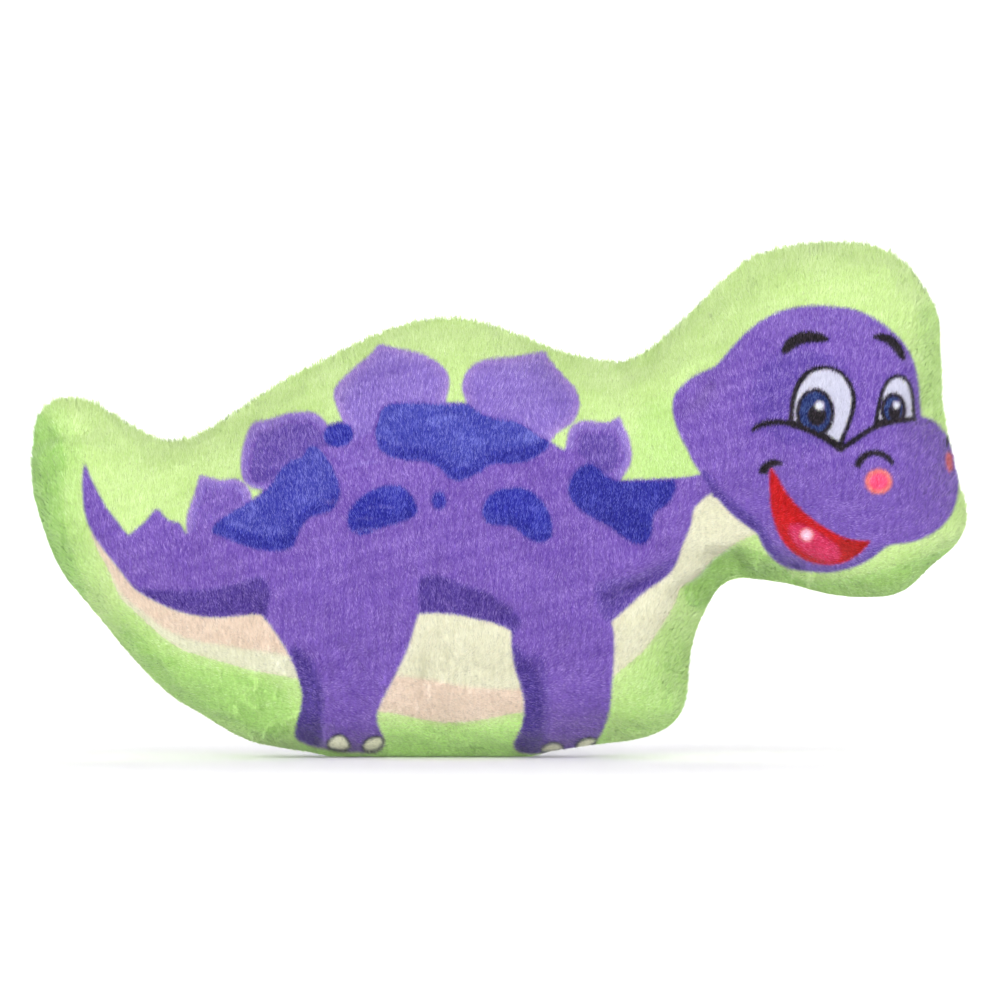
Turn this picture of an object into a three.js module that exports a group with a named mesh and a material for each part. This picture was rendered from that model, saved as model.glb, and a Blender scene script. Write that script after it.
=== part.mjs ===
// Stuffed dinosaur: a flat, printed pillow toy.
//
// Two panels of short-pile plush share one outline. They are sewn together all round, turned
// right side out, stuffed with loose fibre and closed with a short hand stitch. The seam
// allowance of each panel is turned inside and lies flat along the middle plane.
//
// Units are millimetres. +Z is up, +X points from the tail to the head, and the printed
// front panel faces -Y. The origin is under the middle of the toy, on the surface it stands on.

import * as THREE from 'three';
import { mergeVertices } from 'three/addons/utils/BufferGeometryUtils.js';

// ---------------------------------------------------------------- driving dimensions
const LENGTH = 180.0;          // tail to forehead, along X
const FLOOR_PRESS = 0.8;       // how far the underside is pressed flat by the toy's weight
const STUFFED_SPREAD = 15.0;   // how quickly the stuffed thickness levels out away from the seam
const LOFT = 1.5;              // stuffed roundness: larger is fuller
const WALL = 1.5;              // plush: knit backing and pile together
const SEAM_ALLOWANCE = 4.8;    // width of the turned-in seam allowance
const ALLOWANCE_THICK = 1.2;   // thickness of one layer of it
const HALF_GAP = 0.15;         // half of the clearance between the two panels
const FILL_CLEAR = 0.8;        // clearance between the plush and the filling
const BASE_HALF_WIDTH = 8.0;   // half of the width of the pressed underside
const THREAD_RADIUS = 0.2;
const THREAD_INSET = 2.7;      // distance of the thread from the outline
const CLOSING_LENGTH = 44.0;   // length of the hand-closed gap
const RING_POINTS = 112;       // points round each ring
const CELL = 6.0;              // size of the facets in the middle of each surface

// outline of the toy, seen with the head on the right, from the top of the head round by the
// tail, the underside and the chin
const OUTLINE = [
  [59.6, 99.4], [54.4, 98.6], [49.2, 97.2], [44.8, 94.2], [40.9, 90.7], [37.2, 86.9], [33.5, 83.1],
  [29.5, 79.6], [24.9, 76.9], [19.7, 76.6], [14.5, 77.7], [9.4, 79.2], [4.6, 81.4], [-0.4, 83.1],
  [-5.5, 84.6], [-10.8, 84.9], [-16.1, 84.5], [-21.2, 83.1], [-26.0, 80.8], [-30.8, 78.6],
  [-35.6, 76.3], [-40.3, 73.8], [-44.9, 71.2], [-49.2, 68.1], [-53.6, 65.2], [-58.1, 62.3],
  [-63.2, 61.1], [-68.2, 62.8], [-72.7, 65.5], [-77.1, 68.4], [-82.2, 69.7], [-87.3, 68.6],
  [-89.9, 64.2], [-90.3, 58.9], [-90.3, 53.5], [-89.4, 48.3], [-87.7, 43.3], [-85.9, 38.3],
  [-83.0, 33.8], [-79.6, 29.7], [-76.2, 25.7], [-73.0, 21.5], [-69.3, 17.6], [-65.6, 13.8],
  [-61.4, 10.5], [-56.8, 8.0], [-52.4, 5.1], [-47.6, 3.1], [-42.5, 1.9], [-37.3, 1.1], [-32.0, 0.6],
  [-26.7, 0.3], [-21.3, 0.2], [-16.0, 0.1], [-10.7, 0.1], [-5.3, 0.2], [0.0, 0.4], [5.3, 0.7],
  [10.6, 1.3], [15.9, 1.9], [21.1, 2.7], [26.4, 3.6], [31.2, 5.4], [34.8, 8.9], [36.4, 13.7],
  [36.7, 19.0], [37.9, 24.2], [40.0, 29.1], [42.8, 33.0], [47.9, 34.4], [53.2, 33.7], [58.4, 32.6],
  [63.5, 31.1], [68.8, 30.7], [74.1, 30.9], [78.9, 32.7], [82.6, 36.0], [86.9, 39.7], [89.9, 44.0],
  [90.0, 49.2], [88.5, 54.1], [87.3, 59.3], [86.4, 64.2], [85.6, 69.4], [85.4, 74.7], [85.1, 79.9],
  [84.4, 85.3], [82.4, 89.9], [79.5, 94.4], [75.3, 97.8], [70.3, 99.3], [64.9, 99.6],
];

// ---------------------------------------------------------------- outline, its normals and its tightness
const rawWidth = Math.max(...OUTLINE.map((p) => p[0])) - Math.min(...OUTLINE.map((p) => p[0]));
const rawMid = (Math.max(...OUTLINE.map((p) => p[0])) + Math.min(...OUTLINE.map((p) => p[0]))) / 2;
const scale = LENGTH / rawWidth;
const outlineCurve = new THREE.CatmullRomCurve3(
  OUTLINE.map(([x, z]) => new THREE.Vector3((x - rawMid) * scale, 0, z * scale - FLOOR_PRESS)),
  true, 'catmullrom', 0.5,
);
outlineCurve.arcLengthDivisions = 4000;
const FINE = RING_POINTS * 5;
const finePoints = outlineCurve.getSpacedPoints(FINE).slice(0, FINE)
  .map((p) => ({ x: p.x, z: p.z < 0.02 ? 0 : p.z }));
const perimeter = outlineCurve.getLength();

function smoothLoop(values, reach, passes) {
  let v = values.slice();
  const n = v.length;
  for (let k = 0; k < passes; k++) {
    v = v.map((_, i) => {
      let s = 0;
      for (let j = -reach; j <= reach; j++) s += v[(i + j + n) % n];
      return s / (2 * reach + 1);
    });
  }
  return v;
}

// inward unit normals; the outline runs anticlockwise seen from -Y
let nx = [], nz = [];
for (let i = 0; i < FINE; i++) {
  const a = finePoints[(i - 4 + FINE) % FINE], b = finePoints[(i + 4) % FINE];
  const tx = b.x - a.x, tz = b.z - a.z, l = Math.hypot(tx, tz);
  nx.push(-tz / l); nz.push(tx / l);
}
nx = smoothLoop(nx, 3, 2); nz = smoothLoop(nz, 3, 2);
for (let i = 0; i < FINE; i++) { const l = Math.hypot(nx[i], nz[i]); nx[i] /= l; nz[i] /= l; }

// room(i): how far the outline can be moved inward before it would fold over itself
let turn = [];
for (let i = 0; i < FINE; i++) {
  const a = (i - 8 + FINE) % FINE, b = (i + 8) % FINE;
  const cross = nx[a] * nz[b] - nz[a] * nx[b], dot = nx[a] * nx[b] + nz[a] * nz[b];
  turn.push(Math.atan2(cross, dot) / (16 * perimeter / FINE));
}
turn = smoothLoop(turn, 4, 2);
let room = turn.map((k) => (k > 0.01 ? Math.min(60, 1 / k) : 60));
room = room.map((_, i) => {
  let m = 60;
  for (let j = -14; j <= 14; j++) m = Math.min(m, room[(i + j + FINE) % FINE] + Math.abs(j) * 0.15);
  return m;
});

function inset(i, d) {
  const lim = 0.95 * room[i];
  const e = d / Math.pow(1 + Math.pow(d / lim, 4), 0.25);
  return { x: finePoints[i].x + nx[i] * e, z: finePoints[i].z + nz[i] * e };
}

function insideLoop(loop, x, z) {
  let inside = false;
  for (let i = 0, j = loop.length - 1; i < loop.length; j = i++) {
    const a = loop[i], b = loop[j];
    if ((a.z > z) !== (b.z > z) && x < ((b.x - a.x) * (z - a.z)) / (b.z - a.z) + a.x) inside = !inside;
  }
  return inside;
}

function distanceToLoop(loop, x, z) {
  let best = 1e9, at = 0;
  for (let i = 0; i < loop.length; i++) {
    const a = loop[i], b = loop[(i + 1) % loop.length];
    const dx = b.x - a.x, dz = b.z - a.z;
    let t = ((x - a.x) * dx + (z - a.z) * dz) / (dx * dx + dz * dz);
    t = Math.max(0, Math.min(1, t));
    const d = Math.hypot(x - a.x - t * dx, z - a.z - t * dz);
    if (d < best) { best = d; at = i; }
  }
  return { d: best, at };
}

// ---------------------------------------------------------------- stuffed thickness
// u solves laplace(u) - u / s^2 = -1 inside the outline and is zero on it; the half thickness is
// LOFT * sqrt(u), so every section leaves the seam like an ellipse and wide parts level out.
const STEP = 1.0;
const GX0 = -LENGTH / 2 - 2, GZ0 = -2, GW = Math.ceil((LENGTH + 4) / STEP) + 1, GH = Math.ceil(106 / STEP) + 1;
const inGrid = new Uint8Array(GW * GH);
for (let j = 0; j < GH; j++) {
  for (let i = 0; i < GW; i++) {
    inGrid[j * GW + i] = insideLoop(finePoints, GX0 + i * STEP, GZ0 + j * STEP) ? 1 : 0;
  }
}
const u = new Float64Array(GW * GH);
const centre = 4 + (STEP * STEP) / (STUFFED_SPREAD * STUFFED_SPREAD);
for (let it = 0; it < 500; it++) {
  for (let j = 1; j < GH - 1; j++) {
    for (let i = 1; i < GW - 1; i++) {
      const c = j * GW + i;
      if (!inGrid[c]) continue;
      const v = (u[c - 1] + u[c + 1] + u[c - GW] + u[c + GW] + STEP * STEP) / centre;
      u[c] += 1.7 * (v - u[c]);
    }
  }
}
function sampleU(x, z) {
  const fx = (x - GX0) / STEP, fz = (z - GZ0) / STEP;
  const i = Math.max(0, Math.min(GW - 2, Math.floor(fx))), j = Math.max(0, Math.min(GH - 2, Math.floor(fz)));
  const s = fx - i, t = fz - j, c = j * GW + i;
  return (u[c] * (1 - s) + u[c + 1] * s) * (1 - t) + (u[c + GW] * (1 - s) + u[c + GW + 1] * s) * t;
}
// slope of u at the seam, read 4 mm inside it
let edgeSlope = finePoints.map((_, i) => { const q = inset(i, 4); return (sampleU(q.x, q.z) + 8) / 4; });
edgeSlope = smoothLoop(edgeSlope, 6, 2);

const smooth01 = (a, b, v) => { const t = Math.max(0, Math.min(1, (v - a) / (b - a))); return t * t * (3 - 2 * t); };
const baseStart = -36, baseEnd = 9.5;
const baseBump = (x) => smooth01(baseStart - 12, baseStart + 1, x) * (1 - smooth01(baseEnd - 1, baseEnd + 12, x));

// half thickness of the stuffed toy at a point of the middle plane
function half(x, z) {
  const { d, at } = distanceToLoop(finePoints, x, z);
  const near = Math.max(0, edgeSlope[at] * d - d * d / 2);
  const far = sampleU(x, z);
  const t = smooth01(3, 5, d);
  const h = LOFT * Math.sqrt(Math.max(0, near * (1 - t) + far * t));
  const low = z < 30 ? BASE_HALF_WIDTH * baseBump(x) * Math.exp(-z / 9) : 0;
  return Math.hypot(h, low);
}

// the surface a distance r inside the stuffed surface
function halfInside(x, z, r) {
  let best = half(x, z) - r;
  for (const f of [0.45, 0.8, 0.98]) {
    for (let k = 0; k < 12; k++) {
      const a = (k * Math.PI) / 6;
      const qx = x + Math.cos(a) * r * f, qz = z + Math.sin(a) * r * f;
      if (!insideLoop(finePoints, qx, qz)) continue;
      best = Math.min(best, half(qx, qz) - r * Math.sqrt(1 - f * f));
    }
  }
  return best;
}

// ---------------------------------------------------------------- rings, strips and caps
const every = FINE / RING_POINTS;
function ring(d, y, flatBase = false) {
  const out = [];
  for (let k = 0; k < RING_POINTS; k++) {
    const i = k * every;
    const b = flatBase && finePoints[i].z < 20 ? baseBump(finePoints[i].x) : 0;
    const p = inset(i, d * (1 - b));
    if (flatBase && finePoints[i].z === 0) p.z = 0;
    out.push({ x: p.x, z: p.z, y: typeof y === 'function' ? y(p) : y });
  }
  return out;
}

function strip(out, a, b) {
  for (let i = 0; i < a.length; i++) {
    const j = (i + 1) % a.length;
    out.push([a[i], a[j], b[j]], [a[i], b[j], b[i]]);
  }
}

// swaps the shared edge of two neighbouring triangles wherever that makes them rounder
function evenOut(tris) {
  const id = new Map();
  const pts = [];
  const t = tris.map((tri) => tri.map((p) => {
    if (!id.has(p)) { id.set(p, pts.length); pts.push(p); }
    return id.get(p);
  }));
  const area = (a, b, c) => (pts[b].x - pts[a].x) * (pts[c].z - pts[a].z) - (pts[b].z - pts[a].z) * (pts[c].x - pts[a].x);
  const inCircle = (a, b, c, d) => {
    const m = [a, b, c].map((k) => {
      const x = pts[k].x - pts[d].x, z = pts[k].z - pts[d].z;
      return [x, z, x * x + z * z];
    });
    return m[0][0] * (m[1][1] * m[2][2] - m[1][2] * m[2][1]) - m[0][1] * (m[1][0] * m[2][2] - m[1][2] * m[2][0])
      + m[0][2] * (m[1][0] * m[2][1] - m[1][1] * m[2][0]);
  };
  for (let pass = 0; pass < 60; pass++) {
    const edges = new Map();
    t.forEach((tri, n) => {
      for (let k = 0; k < 3; k++) {
        const a = tri[k], b = tri[(k + 1) % 3], key = a < b ? a + '_' + b : b + '_' + a;
        if (!edges.has(key)) edges.set(key, []);
        edges.get(key).push([n, k]);
      }
    });
    const used = new Set();
    let flips = 0;
    for (const pair of edges.values()) {
      if (pair.length !== 2) continue;
      const [[m, i], [n, j]] = pair;
      if (used.has(m) || used.has(n)) continue;
      const a = t[m][i], b = t[m][(i + 1) % 3], c = t[m][(i + 2) % 3], d = t[n][(j + 2) % 3];
      if (area(a, d, c) < 1e-3 || area(d, b, c) < 1e-3 || inCircle(a, b, c, d) < 1e-4) continue;
      t[m] = [a, d, c]; t[n] = [d, b, c];
      used.add(m); used.add(n);
      flips++;
    }
    if (!flips) break;
  }
  return t.map((tri) => tri.map((k) => pts[k]));
}

// a cap over a ring: square cells in the middle, joined to the ring by a band of triangles
function cap(out, rim, height, reverse) {
  const nxCells = Math.ceil(LENGTH / CELL), nzCells = Math.ceil(100 / CELL);
  const x0 = -nxCells * CELL / 2, z0 = 1.0;
  const keep = new Set();
  const key = (i, j) => i + ',' + j;
  const cornerOk = (x, z) => insideLoop(rim, x, z) && distanceToLoop(rim, x, z).d > 1.6;
  for (let j = 0; j < nzCells; j++) {
    for (let i = 0; i < nxCells; i++) {
      const xs = [x0 + i * CELL, x0 + (i + 1) * CELL], zs = [z0 + j * CELL, z0 + (j + 1) * CELL];
      if (xs.every((x) => zs.every((z) => cornerOk(x, z)))) keep.add(key(i, j));
    }
  }
  // no two cells may meet at a corner only
  for (let changed = true; changed;) {
    changed = false;
    for (const k of [...keep]) {
      const [i, j] = k.split(',').map(Number);
      for (const [di, dj] of [[1, 1], [-1, 1]]) {
        if (keep.has(key(i + di, j + dj)) && !keep.has(key(i + di, j)) && !keep.has(key(i, j + dj))) {
          keep.delete(k); changed = true; break;
        }
      }
    }
  }
  const P = (i, j) => { const x = x0 + i * CELL, z = z0 + j * CELL; return { x, z, y: height({ x, z }), id: key(i, j) }; };
  const cache = new Map();
  const pt = (i, j) => { const k = key(i, j); if (!cache.has(k)) cache.set(k, P(i, j)); return cache.get(k); };
  const next = new Map();
  const tris = [];
  for (const k of keep) {
    const [i, j] = k.split(',').map(Number);
    const a = pt(i, j), b = pt(i + 1, j), c = pt(i + 1, j + 1), d = pt(i, j + 1);
    if ((i + j) % 2) tris.push([a, b, c], [a, c, d]); else tris.push([a, b, d], [b, c, d]);
    if (!keep.has(key(i, j - 1))) next.set(a.id, b);
    if (!keep.has(key(i + 1, j))) next.set(b.id, c);
    if (!keep.has(key(i, j + 1))) next.set(c.id, d);
    if (!keep.has(key(i - 1, j))) next.set(d.id, a);
  }
  const loops = [];
  while (next.size) {
    const start = next.keys().next().value;
    const loop = [];
    let id = start;
    while (next.has(id)) { const p = next.get(id); next.delete(id); loop.push(p); id = p.id; }
    loops.push(loop);
  }
  const holes = loops.map((l) => l.map((p) => new THREE.Vector2(p.x, p.z)));
  const contour = rim.map((p) => new THREE.Vector2(p.x, p.z));
  const all = [...rim, ...loops.flat()];
  for (const t of THREE.ShapeUtils.triangulateShape(contour, holes)) {
    const [p, q, r] = t.map((n) => all[n]);
    const area = (q.x - p.x) * (r.z - p.z) - (q.z - p.z) * (r.x - p.x);
    tris.push(area > 0 ? [p, q, r] : [p, r, q]);
  }
  for (const [p, q, r] of evenOut(tris)) out.push(reverse ? [p, r, q] : [p, q, r]);
}

// side is -1 for a piece on the -Y side and +1 for its mirror image
function solid(tris, side) {
  const pos = [];
  for (const t of tris) {
    const order = side < 0 ? [t[0], t[1], t[2]] : [t[0], t[2], t[1]];
    for (const p of order) pos.push(p.x, side * p.y, p.z);
  }
  let g = new THREE.BufferGeometry();
  g.setAttribute('position', new THREE.Float32BufferAttribute(pos, 3));
  g = mergeVertices(g, 1e-3);
  g.computeVertexNormals();
  return g;
}

// ---------------------------------------------------------------- one panel with its seam allowance
const flapTop = HALF_GAP + ALLOWANCE_THICK;
const innerHeight = (p) => Math.max(halfInside(p.x, p.z, WALL), flapTop + 0.15);
function panel(side) {
  const t = [];
  const outer = [ring(0, HALF_GAP), ring(0.6, (p) => Math.max(half(p.x, p.z), 0.9), true),
    ring(2.3, (p) => half(p.x, p.z)), ring(6.0, (p) => half(p.x, p.z))];
  const inner = [ring(1.8, flapTop), ring(2.0, innerHeight), ring(3.6, innerHeight), ring(6.2, innerHeight)];
  const flapFace = ring(SEAM_ALLOWANCE, flapTop), flapEdge = ring(SEAM_ALLOWANCE, HALF_GAP);
  cap(t, outer[3], (p) => half(p.x, p.z), false);
  strip(t, outer[2], outer[3]);
  strip(t, outer[1], outer[2]);
  strip(t, outer[0], outer[1]);
  strip(t, flapEdge, outer[0]);
  strip(t, flapFace, flapEdge);
  strip(t, inner[0], flapFace);
  strip(t, inner[1], inner[0]);
  strip(t, inner[2], inner[1]);
  strip(t, inner[3], inner[2]);
  cap(t, inner[3], innerHeight, true);
  return solid(t, side);
}

// ---------------------------------------------------------------- filling, with a groove for the seam
function filling() {
  const groove = flapTop + 2 * THREAD_RADIUS + 0.65;
  const height = (p) => Math.max(halfInside(p.x, p.z, WALL + FILL_CLEAR), groove + 0.2);
  const flip = (r) => r.map((p) => ({ x: p.x, z: p.z, y: -p.y }));
  const front = [ring(5.5, groove), ring(3.4, groove), ring(3.6, height), ring(6.2, height)];
  const t = [];
  cap(t, front[3], height, false);
  strip(t, front[2], front[3]);
  strip(t, front[1], front[2]);
  strip(t, front[0], front[1]);
  const back = front.map(flip);
  strip(t, back[0], front[0]);
  strip(t, back[1], back[0]);
  strip(t, back[2], back[1]);
  strip(t, back[3], back[2]);
  const b = [];
  cap(b, front[3], height, true);
  for (const tri of b) t.push(tri.map((p) => ({ x: p.x, z: p.z, y: -p.y })));
  return solid(t, -1);
}

// ---------------------------------------------------------------- threads
// each lies on the inner face of the seam allowance, in the corner that it makes with the wall
function thread(side, from, to, steps) {
  const pts = [];
  for (let k = 0; k <= steps; k++) {
    const f = from + ((to - from) * k) / steps;
    const i = ((Math.round(f * FINE) % FINE) + FINE) % FINE;
    const p = inset(i, THREAD_INSET);
    pts.push(new THREE.Vector3(p.x, side * (flapTop + 0.3 + THREAD_RADIUS), p.z));
  }
  const section = new THREE.Shape();
  const sides = 5;
  for (let k = 0; k < sides; k++) {
    const a = (2 * Math.PI * k) / sides;
    const x = THREAD_RADIUS * Math.cos(a), y = THREAD_RADIUS * Math.sin(a);
    if (k === 0) section.moveTo(x, y); else section.lineTo(x, y);
  }
  section.closePath();
  let g = new THREE.ExtrudeGeometry(section, {
    steps, bevelEnabled: false, extrudePath: new THREE.CatmullRomCurve3(pts, false, 'centripetal'),
  });
  g.deleteAttribute('normal'); g.deleteAttribute('uv');
  g = mergeVertices(g, 1e-4);
  g.computeVertexNormals();
  return g;
}

// the closing gap is on the straight stretch under the tail
let closingMid = 0, closest = 1e9;
for (let i = 0; i < FINE; i++) {
  const d = Math.hypot(finePoints[i].x + 70.5, finePoints[i].z - 18);
  if (d < closest) { closest = d; closingMid = i / FINE; }
}
const halfClosing = CLOSING_LENGTH / 2 / perimeter;
const clear = 0.8 / perimeter;

// ---------------------------------------------------------------- the toy
function material(color, roughness) {
  return new THREE.MeshStandardMaterial({ color, roughness, metalness: 0 });
}
const group = new THREE.Group();
function add(name, geometry, color, roughness) {
  const mesh = new THREE.Mesh(geometry, material(color, roughness));
  mesh.name = name;
  group.add(mesh);
}
add('front_panel', panel(-1), 0x7c5cb8, 0.95);
add('back_panel', panel(1), 0xa9dc6c, 0.95);
add('filling', filling(), 0xf4f2ec, 1.0);
add('seam_needle_thread', thread(-1, closingMid + halfClosing + clear, closingMid + 1 - halfClosing - clear, 104), 0x9fd060, 0.7);
add('seam_bobbin_thread', thread(1, closingMid + halfClosing + clear, closingMid + 1 - halfClosing - clear, 104), 0x9fd060, 0.7);
add('closing_thread', thread(-1, closingMid - halfClosing, closingMid + halfClosing, 12), 0x9fd060, 0.7);

export default group;
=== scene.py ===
import math

import bpy
import numpy as np
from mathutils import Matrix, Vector, geometry


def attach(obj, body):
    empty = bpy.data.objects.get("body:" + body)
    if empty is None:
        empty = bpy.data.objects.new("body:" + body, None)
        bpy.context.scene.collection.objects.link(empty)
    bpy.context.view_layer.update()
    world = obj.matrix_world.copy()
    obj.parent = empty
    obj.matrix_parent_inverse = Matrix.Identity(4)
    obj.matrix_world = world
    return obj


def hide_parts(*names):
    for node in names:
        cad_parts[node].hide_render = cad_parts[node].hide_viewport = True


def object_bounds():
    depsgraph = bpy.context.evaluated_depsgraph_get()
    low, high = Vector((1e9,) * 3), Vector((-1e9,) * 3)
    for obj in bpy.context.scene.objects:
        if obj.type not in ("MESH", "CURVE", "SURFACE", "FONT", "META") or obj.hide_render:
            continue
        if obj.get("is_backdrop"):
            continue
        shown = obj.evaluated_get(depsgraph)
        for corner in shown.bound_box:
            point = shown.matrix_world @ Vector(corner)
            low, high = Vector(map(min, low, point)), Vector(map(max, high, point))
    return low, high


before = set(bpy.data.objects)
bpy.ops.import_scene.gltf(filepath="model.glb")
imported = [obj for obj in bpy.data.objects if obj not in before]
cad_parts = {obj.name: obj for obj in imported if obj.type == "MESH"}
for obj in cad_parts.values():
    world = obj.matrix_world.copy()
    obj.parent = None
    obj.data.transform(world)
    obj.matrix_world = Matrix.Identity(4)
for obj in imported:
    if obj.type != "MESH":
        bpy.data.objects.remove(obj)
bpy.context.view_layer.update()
RNG = np.random.default_rng(561)

# ---------------------------------------------------------------- the cut shape of the toy
# The silhouette, in artwork units: 5.2 to a millimetre, x to the right and y down.
OUTLINE = [
    (810.0, 242.3), (795.1, 244.2), (780.3, 247.2), (765.6, 250.8), (751.7, 256.3), (739.0, 264.5), (727.2, 273.9),
    (716.0, 284.0), (706.1, 295.3), (695.3, 305.8), (684.6, 316.5), (673.7, 326.8), (662.6, 337.0), (650.9, 346.5),
    (638.3, 354.6), (624.5, 360.5), (609.8, 361.3), (594.9, 358.8), (580.1, 355.8), (565.4, 352.1), (551.2, 347.2),
    (536.7, 341.0), (522.7, 335.4), (508.8, 329.9), (494.4, 325.5), (480.0, 321.0), (465.2, 318.1), (450.2, 317.2),
    (435.1, 317.7), (420.1, 319.4), (405.5, 323.3), (391.1, 327.5), (377.2, 333.1), (363.4, 339.1), (349.5, 345.0),
    (336.1, 352.0), (322.7, 358.8), (309.1, 365.4), (295.7, 372.3), (282.5, 379.6), (269.6, 387.4), (257.3, 396.0),
    (244.2, 405.0), (231.7, 413.3), (218.9, 421.5), (206.2, 429.5), (193.2, 437.2), (178.9, 440.9), (164.0, 439.7),
    (149.9, 434.6), (136.8, 427.1), (123.8, 419.6), (111.0, 411.9), (98.4, 403.8), (84.5, 398.4), (69.6, 396.6), (54.8, 398.3),
    (42.6, 406.2), (34.7, 418.6), (32.4, 433.3), (31.1, 448.3), (30.5, 463.4), (30.6, 478.6), (32.0, 494.4), (35.8, 509.0),
    (40.6, 523.3), (45.3, 537.6), (50.0, 552.0), (56.8, 565.4), (64.6, 578.3), (73.8, 590.2), (83.5, 601.7), (93.3, 613.2),
    (103.1, 624.6), (112.5, 636.4), (121.9, 648.2), (132.0, 659.4), (142.3, 670.4), (152.6, 681.4), (163.7, 691.6),
    (175.7, 700.9), (188.6, 708.6), (201.8, 715.7), (214.3, 724.2), (227.9, 732.3), (241.4, 739.1), (255.0, 744.9),
    (269.1, 747.3), (283.9, 750.0), (298.9, 752.3), (313.9, 754.2), (328.9, 756.1), (344.0, 757.7), (359.1, 758.8),
    (374.2, 759.0), (389.4, 759.0), (404.5, 759.0), (419.6, 759.0), (434.8, 759.0), (449.9, 759.0), (465.1, 759.0),
    (480.2, 759.0), (495.4, 758.8), (510.5, 758.2), (525.6, 756.8), (541.3, 754.3), (556.2, 751.9), (571.3, 750.1),
    (586.3, 748.1), (601.2, 745.7), (616.3, 744.3), (631.3, 742.4), (646.0, 738.9), (660.2, 733.7), (673.0, 726.3),
    (682.3, 714.8), (687.6, 701.0), (689.0, 686.1), (689.6, 671.1), (691.7, 656.2), (694.8, 641.3), (699.4, 627.0),
    (705.6, 613.2), (712.5, 599.8), (720.8, 587.5), (733.5, 580.6), (749.0, 580.4), (764.0, 582.2), (778.9, 584.1),
    (793.7, 587.1), (808.4, 590.9), (822.9, 595.1), (837.7, 597.6), (852.7, 599.1), (867.8, 598.9), (882.8, 598.8),
    (897.4, 595.8), (910.5, 588.7), (921.4, 578.5), (931.8, 567.7), (943.8, 558.5), (955.2, 548.7), (963.9, 536.6),
    (968.3, 522.5), (968.1, 507.5), (964.5, 493.1), (959.2, 479.6), (956.5, 464.2), (953.2, 449.6), (949.4, 435.8),
    (948.2, 421.5), (944.6, 406.9), (943.5, 391.9), (944.1, 376.9), (942.6, 361.9), (941.6, 346.9), (941.5, 331.8),
    (940.1, 316.8), (934.8, 302.8), (927.0, 290.0), (919.0, 277.2), (910.0, 265.3), (898.5, 255.7), (885.4, 248.4),
    (871.1, 243.9), (856.1, 242.5), (841.0, 242.4), (825.9, 242.4),
]

# ---------------------------------------------------------------- the printed artwork
# The artwork is drawn in its own units: U of them to a millimetre, x to the right and y down,
# seen from the front. It is filled, layer by layer, into a fine grid of colours that the fabric
# and every strand of pile then look up at their own place.
U = 5.2
ART_X0, ART_Y0, ART_X1, ART_Y1, ART_SUB = 10, 220, 990, 780, 2
ART_W, ART_H = (ART_X1 - ART_X0) * ART_SUB, (ART_Y1 - ART_Y0) * ART_SUB


def srgb(r, g, b):
    c = np.array([r, g, b], float) / 255
    return np.where(c <= 0.04045, c / 12.92, ((c + 0.055) / 1.055) ** 2.4)


def curve(points, closed=True, step=2.0):
    """A smooth line through the points; a third value of 1 makes that point a corner."""
    pts = [(p[0], p[1], p[2] if len(p) > 2 else 0) for p in points]
    n = len(pts)
    corners = [i for i, p in enumerate(pts) if p[2]]
    if closed and not corners:
        runs = [[pts[(i) % n] for i in range(-1, n + 2)]]
        open_ends = False
    else:
        open_ends = True
        if closed:
            start = corners[0]
            order = [pts[(start + i) % n] for i in range(n + 1)]
        else:
            order = pts
        runs, run = [], [order[0]]
        for p in order[1:]:
            run.append(p)
            if p[2]:
                runs.append(run)
                run = [p]
        if len(run) > 1:
            runs.append(run)
        runs = [[r[0]] + r + [r[-1]] for r in runs]
    out = []
    for r in runs:
        q = np.array([p[:2] for p in r], float)
        for i in range(1, len(q) - 2):
            a, b, c, d = q[i - 1], q[i], q[i + 1], q[i + 2]
            k = max(1, int(np.hypot(*(c - b)) / step))
            for t in np.arange(k) / k:
                out.append(0.5 * (2 * b + (c - a) * t + (2 * a - 5 * b + 4 * c - d) * t * t + (3 * b - a - 3 * c + d) * t ** 3))
        if open_ends:
            out.append(q[-2])
    return np.array(out)


def fill(poly):
    """Cells of the grid whose centre is inside the closed line."""
    p = (np.asarray(poly, float) - [ART_X0, ART_Y0]) * ART_SUB
    toggles = np.zeros((ART_H, ART_W + 1), np.int32)
    q = np.roll(p, -1, axis=0)
    for (x0, y0), (x1, y1) in zip(p, q):
        if y0 == y1:
            continue
        lo, hi = (y0, y1) if y0 < y1 else (y1, y0)
        rows = np.arange(max(0, math.ceil(lo - 0.5)), min(ART_H, math.ceil(hi - 0.5)))
        if len(rows) == 0:
            continue
        xs = x0 + (rows + 0.5 - y0) * (x1 - x0) / (y1 - y0)
        toggles[rows, np.clip(np.ceil(xs - 0.5), 0, ART_W).astype(int)] += 1
    return (np.cumsum(toggles, axis=1)[:, :-1] % 2).astype(np.float32)


def soften(mask, sigma):
    """Gaussian blur, sigma in artwork units."""
    s = sigma * ART_SUB
    r = int(3 * s + 1)
    k = np.exp(-0.5 * (np.arange(-r, r + 1) / s) ** 2)
    k = (k / k.sum()).astype(np.float32)
    for axis in (0, 1):
        pad = np.pad(mask, [(r, r) if a == axis else (0, 0) for a in (0, 1)], mode="edge")
        out = np.zeros_like(mask)
        n = mask.shape[axis]
        for i, w in enumerate(k):
            out += w * (pad[i:i + n] if axis == 0 else pad[:, i:i + n])
        mask = out
    return mask


def soft_fill(poly, sigma):
    """fill and soften, worked only on the part of the grid that it touches"""
    m = np.zeros((ART_H, ART_W), np.float32)
    f = fill(poly)
    rows, cols = np.nonzero(f.any(1))[0], np.nonzero(f.any(0))[0]
    if len(rows) == 0:
        return m
    g = int(4 * sigma * ART_SUB + 3)
    a, b = max(0, rows[0] - g), min(ART_H, rows[-1] + g + 1)
    c, d = max(0, cols[0] - g), min(ART_W, cols[-1] + g + 1)
    m[a:b, c:d] = soften(f[a:b, c:d], sigma)
    return m


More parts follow.
